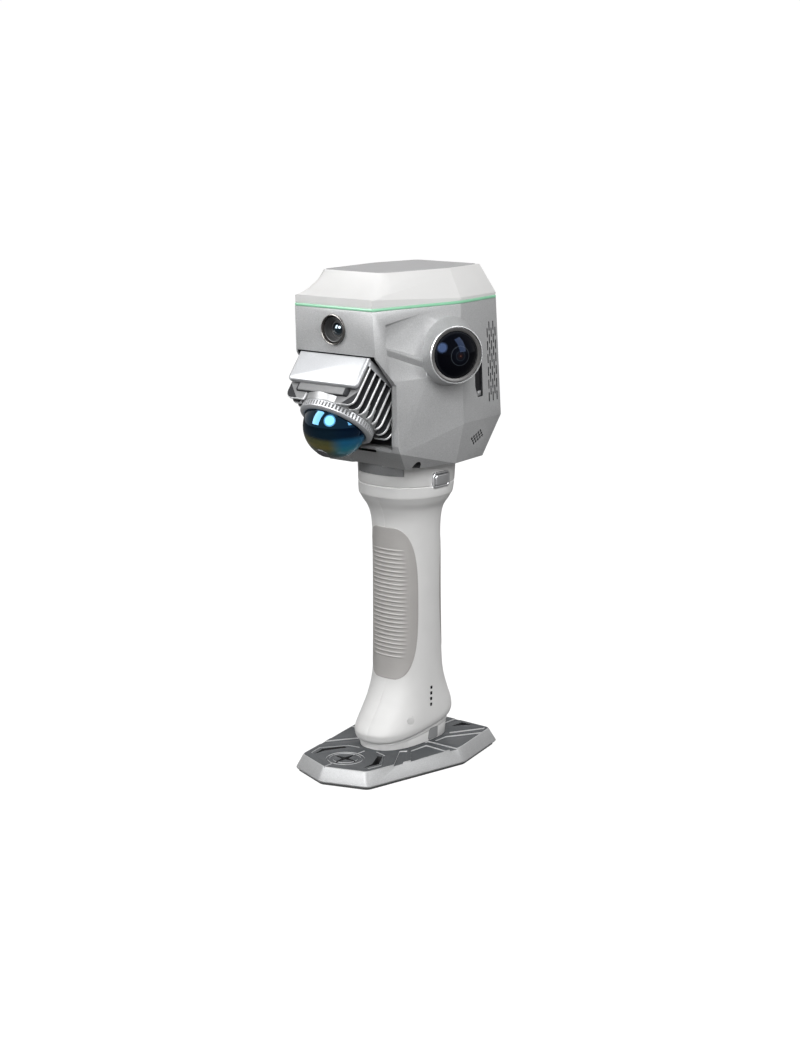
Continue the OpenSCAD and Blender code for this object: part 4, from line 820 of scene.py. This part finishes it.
def bay_solid(grow):
    """Room for the lidar, with its walls moved out."""
    half = bay_half + grow
    end = side_point(-half, -4 - grow)
    low = (lidar_z - half * math.sin(tilt) - chin_z + grow) / math.cos(tilt)
    slope = math.tan(math.radians(90) - tilt)
    return slab([(-130, brow_z), (-130, chin_z - grow), side_point(-half, low), end,
                 (lip_y, end[1] + (end[0] - lip_y) / slope), (lip_y, brow_z)], -half, half, across)


side_front = slab([(-130, brow_z), (-130, chin_z), (-59.5, chin_z), (-59.5, 296),
                   (-79.6, brow_z)], lidar_w / 2 + 1, 100, across)
ring_room = drum(31, 28, 90, lidar_place)


def block_between(low, high, place):
    """Solid between two faces of four corners each, both seen anticlockwise from outside."""
    bm = bmesh.new()
    for corners in (low, high):
        bm.faces.new([bm.verts.new(p) for p in corners])
    bmesh.ops.bridge_loops(bm, edges=list(bm.edges))
    bmesh.ops.recalc_face_normals(bm, faces=bm.faces)
    bmesh.ops.transform(bm, matrix=place, verts=bm.verts)
    return bm


chin_cut = block_between([(-15, -2, -4), (15, -2, -4), (12, 2, -4), (-12, 2, -4)],
                         [(-25, -2, 30), (25, -2, 30), (21, 2, 30), (-21, 2, 30)],
                         placed((0, foot[0][1], head_z0), (43.2, "X")))

camera_r = 20.8
camera_place = placed((63, -18.4, 316.2), (64, "Z"), (90, "X"))
flare = [(camera_r + 0.1 + 8 * (k / 10) ** 1.5, -2.5 - 25 * k / 10) for k in range(11)]
boss = turned([(0, -30), (camera_r + 8.1, -30)] + flare[::-1]
              + [(camera_r, -0.7), (camera_r - 0.15, -0.2), (camera_r - 0.4, 0), (0, 0)],
              camera_place, steps=96)
bore = drum(camera_r - 0.85, -7, 8, camera_place, sides=96)
deep_bore = drum(18.3, -24, 1, camera_place, sides=96)
wall_lean = math.degrees(math.atan((widest[0] - rim[1][0]) / (head_top - girth_z)))


def wall_place(a, b):
    """Frame on the wall between two corners of the rim: X to the rear, Y up it, Z out of it."""
    turn = math.degrees(math.atan2(b[1] - a[1], b[0] - a[0]))
    return placed((*rim[1], head_top), (turn, "Z"), (90, "X"), (-wall_lean, "X"))


front_wall = wall_place(rim[0], rim[1])
rear_wall = wall_place(rim[1], rim[2])
styling = [
    block_between([(-73.4, -25.6, -2.3), (-38, -36.8, 0.15), (-38, -4, 0.15), (-73, -11.4, -2.3)],
                  [(-77.4, -25.0, 2), (-38, -39.4, 2), (-38, -1.6, 2), (-76.6, -8.2, 2)],
                  front_wall),
    block_between([(-71, -52, 0.3), (-36, -52, 0.3), (-36, -44, -2.0), (-74, -31.4, -2.0)],
                  [(-71, -52, 2), (-36, -52, 2), (-36, -36, 2), (-75, -23.4, 2)],
                  front_wall),
]
vents = []
vent_w, vent_l, vent_pitch, vent_row = 1.44, 7.0, 3, 9.6
for column in range(5):
    for row in range(6):
        x = 38 + vent_pitch * column
        y = -73 + vent_row * row + (vent_row / 2 if column % 2 else 0)
        outline = rectangle(x - vent_w / 2, y - vent_l / 2, x + vent_w / 2, y + vent_l / 2)
        vents.append(slab(outline, -6, 4, rear_wall, corner=0.5, steps=2))
slot_cut = slab([(21, -71), (28.5, -71), (28.5, -46), (17.5, -46), (17.5, -63)], -2, 6,
                rear_wall, corner=0.5, steps=2)
grille_place = (placed(widest, (97.46, "Z"), (90 + 6.9, "X"))
                @ Matrix.Translation((22.2, -13.1, 0)))
holes = []
for i in range(-2, 3):
    for j in (-1, 0, 1):
        spot = Matrix.Translation((i * 2.9 + j * 1.7, i * 1.1 - j * 2.0, 0))
        holes.append(slab([(-1.35, 0), (0, -1.4), (1.35, 0), (0, 1.4)], -6, 4,
                          grille_place @ spot))
screw_spots = [(39, -35.5), (-39, -35.5), (28, 36.5), (-28, 36.5)]
screw_r, screw_deep = 3.7, 12


def at_screws(radius, low, high):
    """Round solid at each screw of the bottom, between two heights over it."""
    return [drum(radius, head_z0 + low, head_z0 + high, Matrix.Translation((x, y, 0)), sides=32)
            for x, y in screw_spots]


front_camera = placed((0, rim[0][1], 335.3), (90, "X"))
rear_tilt = math.degrees(math.atan((rim[2][1] + 2.5 - foot[2][1]) / (girth_z - head_z0)))
door_up = 18.0
rear_place = placed((0, foot[2][1] + door_up * math.tan(math.radians(rear_tilt)),
                     head_z0 + door_up), (180, "Z"), (90 + rear_tilt, "X"))
rear_w, rear_h, rear_gap = 78.0, 10.0, 0.3
rear_cut = slab(centred(rear_w + 2 * rear_gap, rear_h + 2 * rear_gap), -1.9, 8, rear_place)
floor_cut = slab(inset_outline(full_outline(foot), 9), head_z0 - 2, head_z0 + 3)
wall = 3.0
cavity = facetted([(x * (1 - wall / 44), y * (1 - wall / 62), z + (wall if z < 240 else 0)
                    + (1 if z > 340 else 0)) for x, y, z in key_points])
cavity = carve(cavity, bay_solid(2.5), *at_screws(screw_r + 2, -1, screw_deep + 1))
body = carve(body, bay_solid(0), side_front, other_side(side_front), chin_cut,
             *[tool for cut in styling for tool in (cut, other_side(cut))])
bmesh.ops.dissolve_limit(body, angle_limit=math.radians(0.5), verts=body.verts, edges=body.edges)
soften(body, 0.9, angle=6, steps=3)
body = carve(body, boss, other_side(boss), how="UNION")
camera_inverse = camera_place.inverted()


def in_camera(spot):
    """Point in the frame of the side camera on its own side."""
    return camera_inverse @ Vector((abs(spot.x), spot.y, spot.z))


def boss_foot(edge):
    """True for the inner edge where a boss meets the wall."""
    spots = [in_camera(v.co) for v in edge.verts]
    return all(19 < math.hypot(p.x, p.y) < 33 and p.z < -4 for p in spots) and not edge.is_convex


body.normal_update()
soften(body, 2.4, angle=20, steps=4, where=boss_foot)
body = carve(body, cavity)
body = carve(body, bore, deep_bore, other_side(bore), other_side(deep_bore), ring_room, floor_cut,
             rear_cut, drum(10, -2, 20, front_camera @ Matrix.Rotation(math.pi, 4, "X"), sides=64))
for cuts in (vents, holes, [slot_cut]):
    both = join(*cuts)
    body = carve(body, both, other_side(both))
body = carve(body, *at_screws(screw_r, -2, screw_deep))
soften(body, 0.22, angle=40, steps=2, where=lambda e: e.calc_length() > 0.4)
# A light silver on the rims round the side cameras is painted highlight.
rim_highlight_silver = finish("rim_highlight_silver", (0.75, 0.76, 0.77), 0.25, metal=0.6, speck=0.04, grain=0.08)
wall_inverse, grille_inverse = rear_wall.inverted(), grille_place.inverted()


def in_shade(face, spot):
    """True inside the vents, slots, grille and bay, and for the walls of the screw bores, where
    painted shade goes.
    """
    vent, grille = wall_inverse @ spot, grille_inverse @ spot
    if vent.z < -0.3 and 17 < vent.x < 52 and -77 < vent.y < -14:
        return True
    if grille.z < -0.25 and abs(grille.x) < 9.5 and abs(grille.y) < 8:
        return True
    if spot.x < bay_half + 0.2 and chin_z + 0.2 < spot.z < brow_z - 0.2 and -79 < spot.y < 40:
        return True
    return spot.z < head_z0 + screw_deep + 1 and any(
        all(math.hypot(abs(v.co.x) - x, v.co.y - y) < screw_r + 0.05 for v in face.verts)
        for x, y in screw_spots)


# Faces inside the openings and the bay take near-black painted shade.
for face in body.faces:
    middle = face.calc_center_median()
    seen = in_camera(middle)
    if seen.z > -0.6 and camera_r - 1.4 < math.hypot(seen.x, seen.y) < camera_r + 0.2:
        face.material_index = 1
    elif in_shade(face, Vector((abs(middle.x), middle.y, middle.z))):
        face.material_index = 2
piece("head_casting", body, [body_silver, rim_highlight_silver, painted_shade_dark], "scanner",
      ["head_shell"], sharp=30)
dress(body_silver, "bottom_cover")
# The parts deep in the bay take the same painted shade.
dress(painted_shade_dark, "inner_deck", "lidar_bracket")

# Black inserts and the rear door: small moulded parts that seat in the body's openings.
# The slot behind each camera is closed by a gloss insert with a silver lug at its lower end.
insert = slab([(20.85, -70.6), (28.1, -70.6), (28.1, -46.4), (17.9, -46.4), (17.9, -62.8)],
              -2, -1.0, rear_wall, corner=0.4, steps=2)
dark_gloss = finish("dark_gloss", (0.012, 0.012, 0.014), 0.2, coat=0.2, cloud=0.1, level=0.3)
piece("slot_covers", both_sides(insert), dark_gloss, "scanner",
      ["slot_inserts"])
lug = slab([(21.6, -70.4), (26.6, -70.4), (26.6, -66.6), (22.8, -66.6), (21.6, -67.8)],
           -1.4, -0.15, rear_wall, corner=0.7, steps=3)
soften(lug, 0.3, angle=50, steps=2)
piece("slot_lugs", both_sides(lug), button_silver, "scanner")
rear_door = slab(centred(rear_w, rear_h), -1.2, 0.7, rear_place, corner=0.8, steps=3)
soften(rear_door, 0.4, angle=50, steps=3)
door_black = finish("door_black", (0.045, 0.046, 0.048), 0.5, cloud=0.05, grain=0.3)
piece("rear_door", rear_door, door_black, "rear_port_cover",
      ["rear_port_cover"])
dress(finish("sink_aluminium", (0.6, 0.6, 0.61), 0.4, metal=0.95), "heat_sink")
dress(finish("antenna_ceramic", (0.55, 0.48, 0.36), 0.5), "antenna_patch")

# Light band and cap: a green light guide under a white plastic cap that lets the antenna see.
# The cap rises in facets with hollowed fronts to a panel that slopes off at its edges, grey as
# painted shade.
band_green, tree, shader = material("band_green", {"Roughness": 0.35,
                                                   "Emission Strength": 0.18})
tint = colour_ramp(tree, noise(tree, 9, 2.0), [(0.0, (0.20, 0.50, 0.31)),
                                               (1.0, (0.26, 0.58, 0.38))])
tree.links.new(tint, shader.inputs["Base Color"])
tree.links.new(tint, shader.inputs["Emission Color"])
band_h = 2.2
guide = slab(inset_outline(rim_outline, -0.4), head_top + 0.1, head_top + band_h - 0.1, corner=1.6,
             steps=5)
guide = carve(guide, slab(inset_outline(rim_outline, 6), head_top - 1, head_top + band_h + 1))
soften(guide, 0.5, angle=50, steps=3)
piece("light_guide", guide, band_green, "scanner", ["light_ring"], sharp=40)

cap_white = finish("cap_white", (0.72, 0.72, 0.715), 0.45, cloud=0.01, grain=0.06, grain_size=0.3,
                   level=0.15)
cap_low, cap_high, lip = head_top + band_h, 375.2, 6.0
top = [(28.5, -61), (36.5, 6), (30, 50)]
low_rim = inset_outline(rim_outline, 0.2)[:3]
cap_points = [(x, y, cap_low) for x, y in low_rim]
cap_points += [(x, y, cap_low + (lip if y < -20 else 2)) for x, y in low_rim]
cap_points += [(x, y, cap_high) for x, y in top]
cap = facetted(cap_points)
scoop_r = 32.0


def rod(a, b):
    """Round cutter between two points."""
    a, b = Vector(a), Vector(b)
    turn = (b - a).to_track_quat("Z", "Y").to_matrix().to_4x4()
    return drum(scoop_r, 0, (b - a).length, Matrix.Translation(a) @ turn, sides=180)


def arc_centre(low, high):
    """Centre of the scoop's arc between two points of a side view."""
    low, high = Vector(low), Vector(high)
    along = (high - low).normalized()
    half = (high - low).length / 2
    return (low + high) / 2 + Vector((-along.y, along.x)) * math.sqrt(scoop_r ** 2 - half ** 2)


lip_corner = (rim[0][0] - 0.4, rim[0][1] + 0.3)
front_centre = arc_centre((lip_corner[1], cap_low + lip), (top[0][1], cap_high))
side_centre = arc_centre((-lip_corner[0], cap_low + lip), (-top[0][0], cap_high))
lean_out = Vector((cap_low - cap_high, rim[1][0] - top[1][0])).normalized() * scoop_r
side_rod = rod((-side_centre.x, rim[0][1] - 20, side_centre.y - 2),
               (top[1][0] - lean_out.x, top[1][1], cap_high + lean_out.y))
cap = carve(cap, rod((-80, front_centre.x, front_centre.y), (80, front_centre.x, front_centre.y)),
            side_rod, other_side(side_rod))
panel_outline = full_outline(top)
cap = carve(cap, slab(inset_outline(panel_outline, 1.0), cap_high - 1.6, cap_high + 1, corner=5,
                      steps=8))
bmesh.ops.dissolve_limit(cap, angle_limit=math.radians(0.3), verts=cap.verts, edges=cap.edges)
soften(cap, 1.5, angle=9, steps=5, where=lambda e: e.calc_length() > 0.2)
round_top, round_low = 6.0, 4.0
beside = 0.885  # how far in from the leaning side the rounded corner's centre lies, by its radius


def reach(corner, radius, out):
    """How far the cap reaches in a direction, with its front corner rounded by that radius."""
    return out.dot(Vector((corner[0] - beside * radius, corner[1] + radius))) + radius


for turn in (17, 34, 51, 68):
    out = Vector((math.sin(math.radians(turn)), -math.cos(math.radians(turn))))
    run = Vector((-out.y, out.x)) * 60
    centre = arc_centre((-reach(lip_corner, round_low, out), cap_low + lip),
                        (-reach(top[0], round_top, out), cap_high))
    axis = out * -centre.x
    corner_rod = rod((*(axis - run), centre.y), (*(axis + run), centre.y))
    cap = carve(cap, corner_rod, other_side(corner_rod))
soften(cap, 0.5, angle=33, steps=3, where=lambda e: e.calc_length() > 0.3
       and max(v.co.y for v in e.verts) < -50 and abs(e.verts[0].co.x) > 15)
piece("top_shell", cap, cap_white, "scanner", ["top_cap"], sharp=30)
# The top panel's mid grey is painted shade for the dim light on the cap's top.
panel_grey = finish("panel_grey", (0.36, 0.36, 0.365), 0.5, speck=0.05, cloud=0.015,
                    grain=0.12, level=0.12)
panel = slab(inset_outline(panel_outline, 1.12), cap_high - 1.5, 375.55, corner=4.9, steps=8)
soften(panel, 0.45, angle=50, steps=3)
piece("top_sheet", panel, panel_grey, "scanner", ["top_panel"], sharp=40)

# Lidar: a cast aluminium block with eight fins down each side that bend in over its face.
# A smooth cover closes its front; the dome sits in a neck with a knurled clamping ring.
lidar_silver = finish("lidar_silver", (0.43, 0.44, 0.455), 0.38, metal=0.2, speck=0.06,
                      speck_size=0.5, cloud=0.015, grain=0.12, grain_size=0.4, level=0.25)
# Near-black and mid-grey painted shade between the fins, on their flats and in the ring's flutes.
gap_shade_black = finish("gap_shade_black", (0.022, 0.023, 0.026), 0.7, cloud=0.1, level=0.1)
core_shade_grey = finish("core_shade_grey", (0.16, 0.163, 0.168), 0.5, speck=0.08, grain=0.15, level=0.3)
# Light silver painted highlight on the fins' rounded edges.
fin_edge_highlight = finish("fin_edge_highlight", (0.74, 0.75, 0.76), 0.3, metal=0.1, cloud=0.01)
flange_t, core_top, fin_top = 5.0, 30.0, 36.0
core_w = lidar_w - 16
label_t, label_len = 3.4, 24.2
block = slab(rectangle(-lidar_w / 2, -lidar_w / 2, lidar_w / 2, lidar_w / 2 - label_t),
             0, flange_t, corner=2.5, steps=5)
soften(block, 0.6, angle=50, steps=3)
core = slab(rectangle(-core_w / 2, -lidar_w / 2 + 1, core_w / 2, lidar_w / 2 - label_t),
            1, core_top, corner=3, steps=5)
soften(core, 1.2, angle=50, steps=4)
# The core under the fins and the flange's top take painted shade.
for face in core.faces:
    face.material_index = (
        2 if face.normal.y > 0.3 and abs(face.calc_center_median().x) < 20 else 1)
for face in block.faces:
    face.material_index = 1 if face.normal.z > 0.9 else 0
neck_part = turned([(22.6, 24), (28.9, 24), (28.9, 30.4), (28.5, 31.2), (28.2, 32.2),
                    (28.05, 33.6), (27.9, 34.6), (27.6, 34.95), (22.6, 34.95)], steps=128)
neck_grey = finish("neck_grey", (0.30, 0.305, 0.31), 0.35, metal=0.1, cloud=0.02, level=0.3)
for face in neck_part.faces:
    face.material_index = 4
fins = []
fin_t, fin_pitch, bend, neck_room, fin_inner = 1.9, 7, 6.0, 29.3, 12.7
bend_x, bend_z = lidar_w / 2 - bend, fin_top - bend
turns = [math.radians(7.5 * k) for k in range(13)]


def fin_height(x):
    """Height of a fin's outer edge over its bend."""
    return bend_z + math.sqrt(bend ** 2 - max(0.0, x - bend_x) ** 2)


for i in range(8):
    y = lidar_w / 2 - label_t - 2.6 - fin_t / 2 - fin_pitch * i
    inner = max(fin_inner, math.sqrt(max(0.0, neck_room ** 2 - y * y)))
    profile = [(core_w / 2 - 1, flange_t - 1), (lidar_w / 2, flange_t - 1)]
    profile += [(bend_x + bend * math.cos(a), bend_z + bend * math.sin(a)) for a in turns
                if bend_x + bend * math.cos(a) > inner + 1.3]
    profile += [(inner + back, fin_height(inner + back) - drop)
                for back, drop in ((1.1, 0.02), (0.6, 0.15), (0.25, 0.45), (0, 1.1))]
    profile += [(inner, core_top - 1), (core_w / 2 - 1, core_top - 1)]
    blade = slab(profile, 0, fin_t, placed((0, y + fin_t / 2, 0), (90, "X")))
    bmesh.ops.remove_doubles(blade, verts=blade.verts, dist=0.05)
    soften(blade, 0.6, angle=50, steps=4)
    # Each fin is split at its bend so that the part near the root can take painted shade.
    bmesh.ops.bisect_plane(blade, geom=blade.verts[:] + blade.edges[:] + blade.faces[:],
                           dist=0.0001, plane_co=(bend_x, 0, bend_z), plane_no=(1, 0, 1))
    bmesh.ops.recalc_face_normals(blade, faces=blade.faces)
    # Fin flats: near-black painted shade near the root and at the sides, mid-grey painted shade
    # elsewhere.
    for face in blade.faces:
        spot = face.calc_center_median()
        if abs(face.normal.y) > 0.98:
            face.material_index = 1 if spot.x > 27 or spot.z < 24 else 2
        elif spot.z > core_top - 1 or spot.x > 30:
            face.material_index = 3
    fins += [blade, other_side(blade)]
lidar_body = join(block, core, neck_part, *fins)
bmesh.ops.transform(lidar_body, matrix=lidar_place, verts=lidar_body.verts)
piece("lidar_block", lidar_body, [lidar_silver, gap_shade_black, core_shade_grey, fin_edge_highlight, neck_grey],
      "scanner", ["lidar_housing"], sharp=35)

cover = slab(rectangle(-lidar_w / 2, 0, lidar_w / 2, label_len), 0, label_t - 0.05,
             placed((0, lidar_w / 2, 0), (90, "X")))
upper_corners = [e for e in cover.edges
                 if abs(e.verts[0].co.x) > 30 and abs(e.verts[0].co.z - e.verts[1].co.z) < 0.1
                 and abs(e.verts[0].co.x - e.verts[1].co.x) < 0.1 and e.verts[0].co.z > 20]
bmesh.ops.bevel(cover, geom=upper_corners, offset=3.0, offset_type="OFFSET", segments=6,
                profile=0.5, affect="EDGES", material=-1)
front_edges = [e for e in cover.edges if min(v.co.y for v in e.verts) > lidar_w / 2 - 0.1]
bmesh.ops.bevel(cover, geom=front_edges, offset=2.2, offset_type="OFFSET", segments=6,
                profile=0.5, affect="EDGES", material=-1)
bmesh.ops.transform(cover, matrix=lidar_place, verts=cover.verts)
piece("lidar_cover", cover, lidar_silver, "scanner", ["lidar_label_plate"],
      sharp=40)

ring_outer, dome_r, dome_w = 28.0, 23.3, 41.0
flutes, flute_low, flute_high = 66, 36.0, 39.3


def knurled(r, w, deep):
    """Ring of points whose radius drops in each flute."""
    points = []
    for i in range(flutes * 6):
        a = math.tau * i / (flutes * 6)
        cut = deep if i % 6 in (1, 2) else 0
        points.append(((r - cut) * math.cos(a), (r - cut) * math.sin(a), w))
    return points


clamp = loft([knurled(r, w, deep) for r, w, deep in (
    (23.5, 35.05, 0), (ring_outer - 0.4, 35.05, 0), (ring_outer, 35.4, 0), (ring_outer, 35.9, 0),
    (ring_outer, flute_low, 0.6), (ring_outer, flute_high, 0.6), (ring_outer, 39.4, 0),
    (27.9, 39.9, 0), (27.5, 40.3, 0), (26.0, 41.1, 0), (25.0, 41.4, 0), (24.2, 41.3, 0),
    (23.6, 40.6, 0), (23.45, 36.0, 0))], capped=False)
# The flutes' floors take mid grey as painted shade.
for face in clamp.faces:
    middle = face.calc_center_median()
    if math.hypot(middle.x, middle.y) < ring_outer - 0.2 and flute_low < middle.z < flute_high:
        face.material_index = 1
bmesh.ops.transform(clamp, matrix=lidar_place, verts=clamp.verts)
piece("knurled_ring", clamp, [lidar_silver, core_shade_grey], "scanner",
      ["lidar_ring"], sharp=25)

tip_r = 5.3
tip_w = dome_w + math.sqrt(dome_r ** 2 - tip_r ** 2)
shell_share = 0.914


def arc(radius, middle, start, end, steps):
    """(radius, height) points on a ball about the axis, between two angles from its top."""
    return [(radius * math.sin(a), middle + radius * math.cos(a))
            for a in (start + (end - start) * k / steps for k in range(steps + 1))]


outer = arc(dome_r, dome_w, math.asin(tip_r / dome_r), math.pi / 2, 40)
inner = [(r * shell_share, dome_w + (w - dome_w) * shell_share) for r, w in reversed(outer)]
dome = turned(outer + [(dome_r, 24.0), (dome_r * shell_share, 24.0)] + inner, lidar_place,
              steps=128)
dome_glass, tree, shader = material("dome_glass", {
    "Roughness": 0.03, "IOR": 1.62, "Specular Tint": (0.14, 0.56, 1.0, 1), "Coat Weight": 0.05,
    "Coat Roughness": 0.02})
place = tree.nodes.new("ShaderNodeTexCoord")
shift = node(tree, "ShaderNodeMapping", {
    "Vector": place.outputs["Object"], "Scale": (1 / (dome_r * MM),) * 3,
    "Location": -(lidar_place @ Vector((0, 0, dome_w))) / dome_r})


def sweep_ramp(way, stops):
    """Painted reflection colours along a direction across the dome, from -1 to 1."""
    along = node(tree, "ShaderNodeVectorMath",
                 {0: shift.outputs[0], 1: Vector(way).normalized()}, "DOT_PRODUCT")
    spread = node(tree, "ShaderNodeMapRange", {"Value": along.outputs["Value"], "From Min": -1})
    return colour_ramp(tree, spread.outputs[0], stops, ease=True)


# Painted reflection in the dome's base colour: olive and amber low down, teal towards the right,
# near black above.
painted_reflection_tones = sweep_ramp((0.15, -0.1, 1), [
    (0.0, (0.03, 0.05, 0.045)), (0.16, (0.09, 0.11, 0.06)), (0.28, (0.15, 0.125, 0.02)),
    (0.36, (0.09, 0.085, 0.02)), (0.46, (0.003, 0.007, 0.012)), (1.0, (0.001, 0.001, 0.003))])
painted_teal_reflection = sweep_ramp((0.15, -0.1, 1), [
    (0.0, (0.02, 0.09, 0.11)), (0.22, (0.02, 0.20, 0.26)), (0.38, (0.01, 0.10, 0.20)),
    (0.50, (0.001, 0.003, 0.012)), (1.0, (0.001, 0.001, 0.004))])
to_side = sweep_ramp((0.9, 0.25, -0.2), [(0.62, (0, 0, 0)), (0.86, (1, 1, 1))])
blend = tree.nodes.new("ShaderNodeMix")
blend.data_type = "RGBA"
tree.links.new(to_side, blend.inputs["Factor"])
tree.links.new(painted_reflection_tones, blend.inputs["A"])
tree.links.new(painted_teal_reflection, blend.inputs["B"])
tree.links.new(blend.outputs["Result"], shader.inputs["Base Color"])
piece("dome", dome, dome_glass, "scanner", ["lidar_window"], sharp=60)
tip = turned([(0, -0.3), (tip_r - 0.1, -0.3), (tip_r - 0.1, 0.25), (tip_r - 0.35, 0.5),
              (tip_r - 0.9, 0.56), (tip_r - 1.2, 0.42), (0, 0.42)],
             lidar_place @ Matrix.Translation((0, 0, tip_w)), steps=48)
piece("dome_tip", tip, finish("tip_grey", (0.10, 0.10, 0.11), 0.4, metal=0.3, cloud=0.05),
      "scanner", ["lidar_tip"])
dress(finish("mirror_drum", (0.5, 0.5, 0.52), 0.15, metal=1.0), "lidar_rotor")

# Front camera: a thin anodised ring, a stepped black throat and a small coated lens.
# It looks out of the head's front face above the lidar.
throat_black = finish("throat_black", (0.022, 0.022, 0.023), 0.35, cloud=0.05, grain=0.1,
                      level=0.4)
ring_dark = finish("ring_dark", (0.10, 0.095, 0.09), 0.25, metal=0.8, cloud=0.05)
ring = turned([(9.0, -3), (10.6, -3), (10.95, -0.2), (11.0, 0.25), (10.8, 0.62), (10.4, 0.75),
               (10.1, 0.6), (9.95, 0.1), (9.0, -2.2)], front_camera, steps=96)
piece("front_camera_ring", ring, ring_dark, "scanner", ["front_camera_bezel"])
steps = [(0, -14), (9.05, -14), (9.05, -1.2), (8.8, -0.9), (8.5, -1.0), (8.1, -2.0), (7.9, -2.0),
         (7.5, -3.0), (7.2, -3.0), (6.8, -4.0), (6.4, -4.0), (5.9, -5.1), (5.4, -5.1), (5.0, -4.7),
         (4.7, -4.7), (4.3, -5.4), (0, -5.6)]
throat = turned(steps, front_camera, steps=96)
piece("front_camera_throat", throat, throat_black, "scanner",
      ["front_camera_barrel"], sharp=25)


def coated(name, tint, base):
    """Lens glass that mirrors in the tint of its coating."""
    glass, tree, shader = material(name, {"Roughness": 0.02, "IOR": 1.6,
                                          "Specular Tint": (*tint, 1)})
    shade = colour_ramp(tree, noise(tree, 6, 1.0), [(0.0, [c * 0.6 for c in base]), (1.0, base)])
    tree.links.new(shade, shader.inputs["Base Color"])
    return glass


def bulge(r, ball, w, depth, place):
    """Lens whose face is part of a ball, rising from radius r at height w."""
    low = w - math.sqrt(ball ** 2 - r ** 2)
    face = arc(ball, low, 0, math.asin(r / ball), 16)
    return turned(face + [(r, w - depth), (0, w - depth)], place)


piece("front_camera_glass", bulge(4.4, 5.6, -5.0, 1.5, front_camera),
      coated("front_coating", (0.75, 0.9, 1.0), (0.01, 0.02, 0.028)), "scanner",
      ["front_camera_lens"])

# Side cameras: a wide glass dome in a black bezel, seated in a boss of the body on each side.
# Under the glass lie a stepped black well and a smaller coated lens in its ring.
glass_r, ball_r = 16.8, 22.0


def camera_glass(name, side):
    """Dark opaque glass dome: painted lens rings with lit edges and a small warm painted glint
    round the camera's axis.
    """
    glass, tree, shader = material(name, {"Roughness": 0.015, "IOR": 1.16,
                                          "Specular Tint": (0.30, 0.48, 1.0, 1)})
    middle, axis = camera_place.translation * MM, camera_place.to_3x3() @ Vector((0, 0, 1))
    from_middle = tree.nodes.new("ShaderNodeTexCoord").outputs["Object"]
    for operation, other in (("SUBTRACT", (middle.x * side, middle.y, middle.z)),
                             ("CROSS_PRODUCT", (axis.x * side, axis.y, axis.z))):
        from_middle = node(tree, "ShaderNodeVectorMath", {0: from_middle, 1: other},
                           operation).outputs[0]
    off_axis = node(tree, "ShaderNodeVectorMath", {0: from_middle}, "LENGTH")
    spread = node(tree, "ShaderNodeMapRange", {"Value": off_axis.outputs["Value"],
                                               "From Max": glass_r * MM})
    # Painted highlight and reflection: a warm glint at the axis and lighter rings for the lens
    # under the glass.
    rings = colour_ramp(tree, spread.outputs[0], [
        (0.0, (0.22, 0.10, 0.07)), (0.03, (0.02, 0.010, 0.010)), (0.17, (0.006, 0.007, 0.011)),
        (0.20, (0.016, 0.020, 0.026)), (0.23, (0.004, 0.005, 0.008)),
        (0.385, (0.003, 0.003, 0.005)), (0.41, (0.035, 0.042, 0.05)),
        (0.44, (0.003, 0.003, 0.004)), (0.9, (0.002, 0.002, 0.003)),
        (0.96, (0.012, 0.013, 0.016))])
    tree.links.new(rings, shader.inputs["Base Color"])
    return glass


inner_coat = coated("inner_coating", (0.9, 0.75, 1.0), (0.02, 0.012, 0.03))
bezel_black = finish("bezel_black", (0.075, 0.073, 0.073), 0.4, cloud=0.05, level=0.4)
for side, sign in (("right", 1), ("left", -1)):
    flip = (lambda bm: bm) if sign > 0 else other_side
    ring = turned([(15.3, -7), (19.55, -7), (19.62, -1.0), (19.45, -0.75), (19.0, -0.7),
                   (17.3, -1.25), (17.0, -1.7), (16.9, -4.9), (15.3, -4.9)], camera_place,
                  steps=96)
    piece("bezel_" + side, flip(ring), bezel_black, "scanner",
          ["side_camera_bezel_" + side], sharp=35)
    well = turned([(0, -23.5), (18.1, -23.5), (18.1, -7.1), (15.2, -7.1), (15.2, -5.2),
                   (14.6, -5.2), (13.4, -6.2), (12.9, -6.2), (11.8, -7.2), (11.4, -7.2),
                   (10.4, -8.1), (9.4, -8.3), (9.0, -6.4), (8.7, -6.0), (8.1, -5.9), (7.8, -6.3),
                   (7.6, -7.2), (0, -7.4)], camera_place, steps=96)
    piece("well_" + side, flip(well), throat_black, "scanner",
          ["side_camera_barrel_" + side], sharp=25)
    piece("inner_lens_" + side, flip(bulge(7.5, 9.2, -6.4, 0.9, camera_place)), inner_coat,
          "scanner")
    low = -1.5 - math.sqrt(ball_r ** 2 - glass_r ** 2)
    sweep, inner_r = math.asin(glass_r / ball_r), ball_r - 1.2
    outer = arc(ball_r, low, 0, sweep, 24)
    under = [(r * 0.985, w) for r, w in reversed(arc(inner_r, low, 0, sweep, 24))]
    shell = turned(outer + [(glass_r, -4.6), (glass_r - 1.1, -4.6)] + under, camera_place,
                   steps=96)
    piece("glass_" + side, flip(shell), camera_glass("camera_glass_" + side, sign), "scanner",
          ["side_camera_lens_" + side], sharp=60)
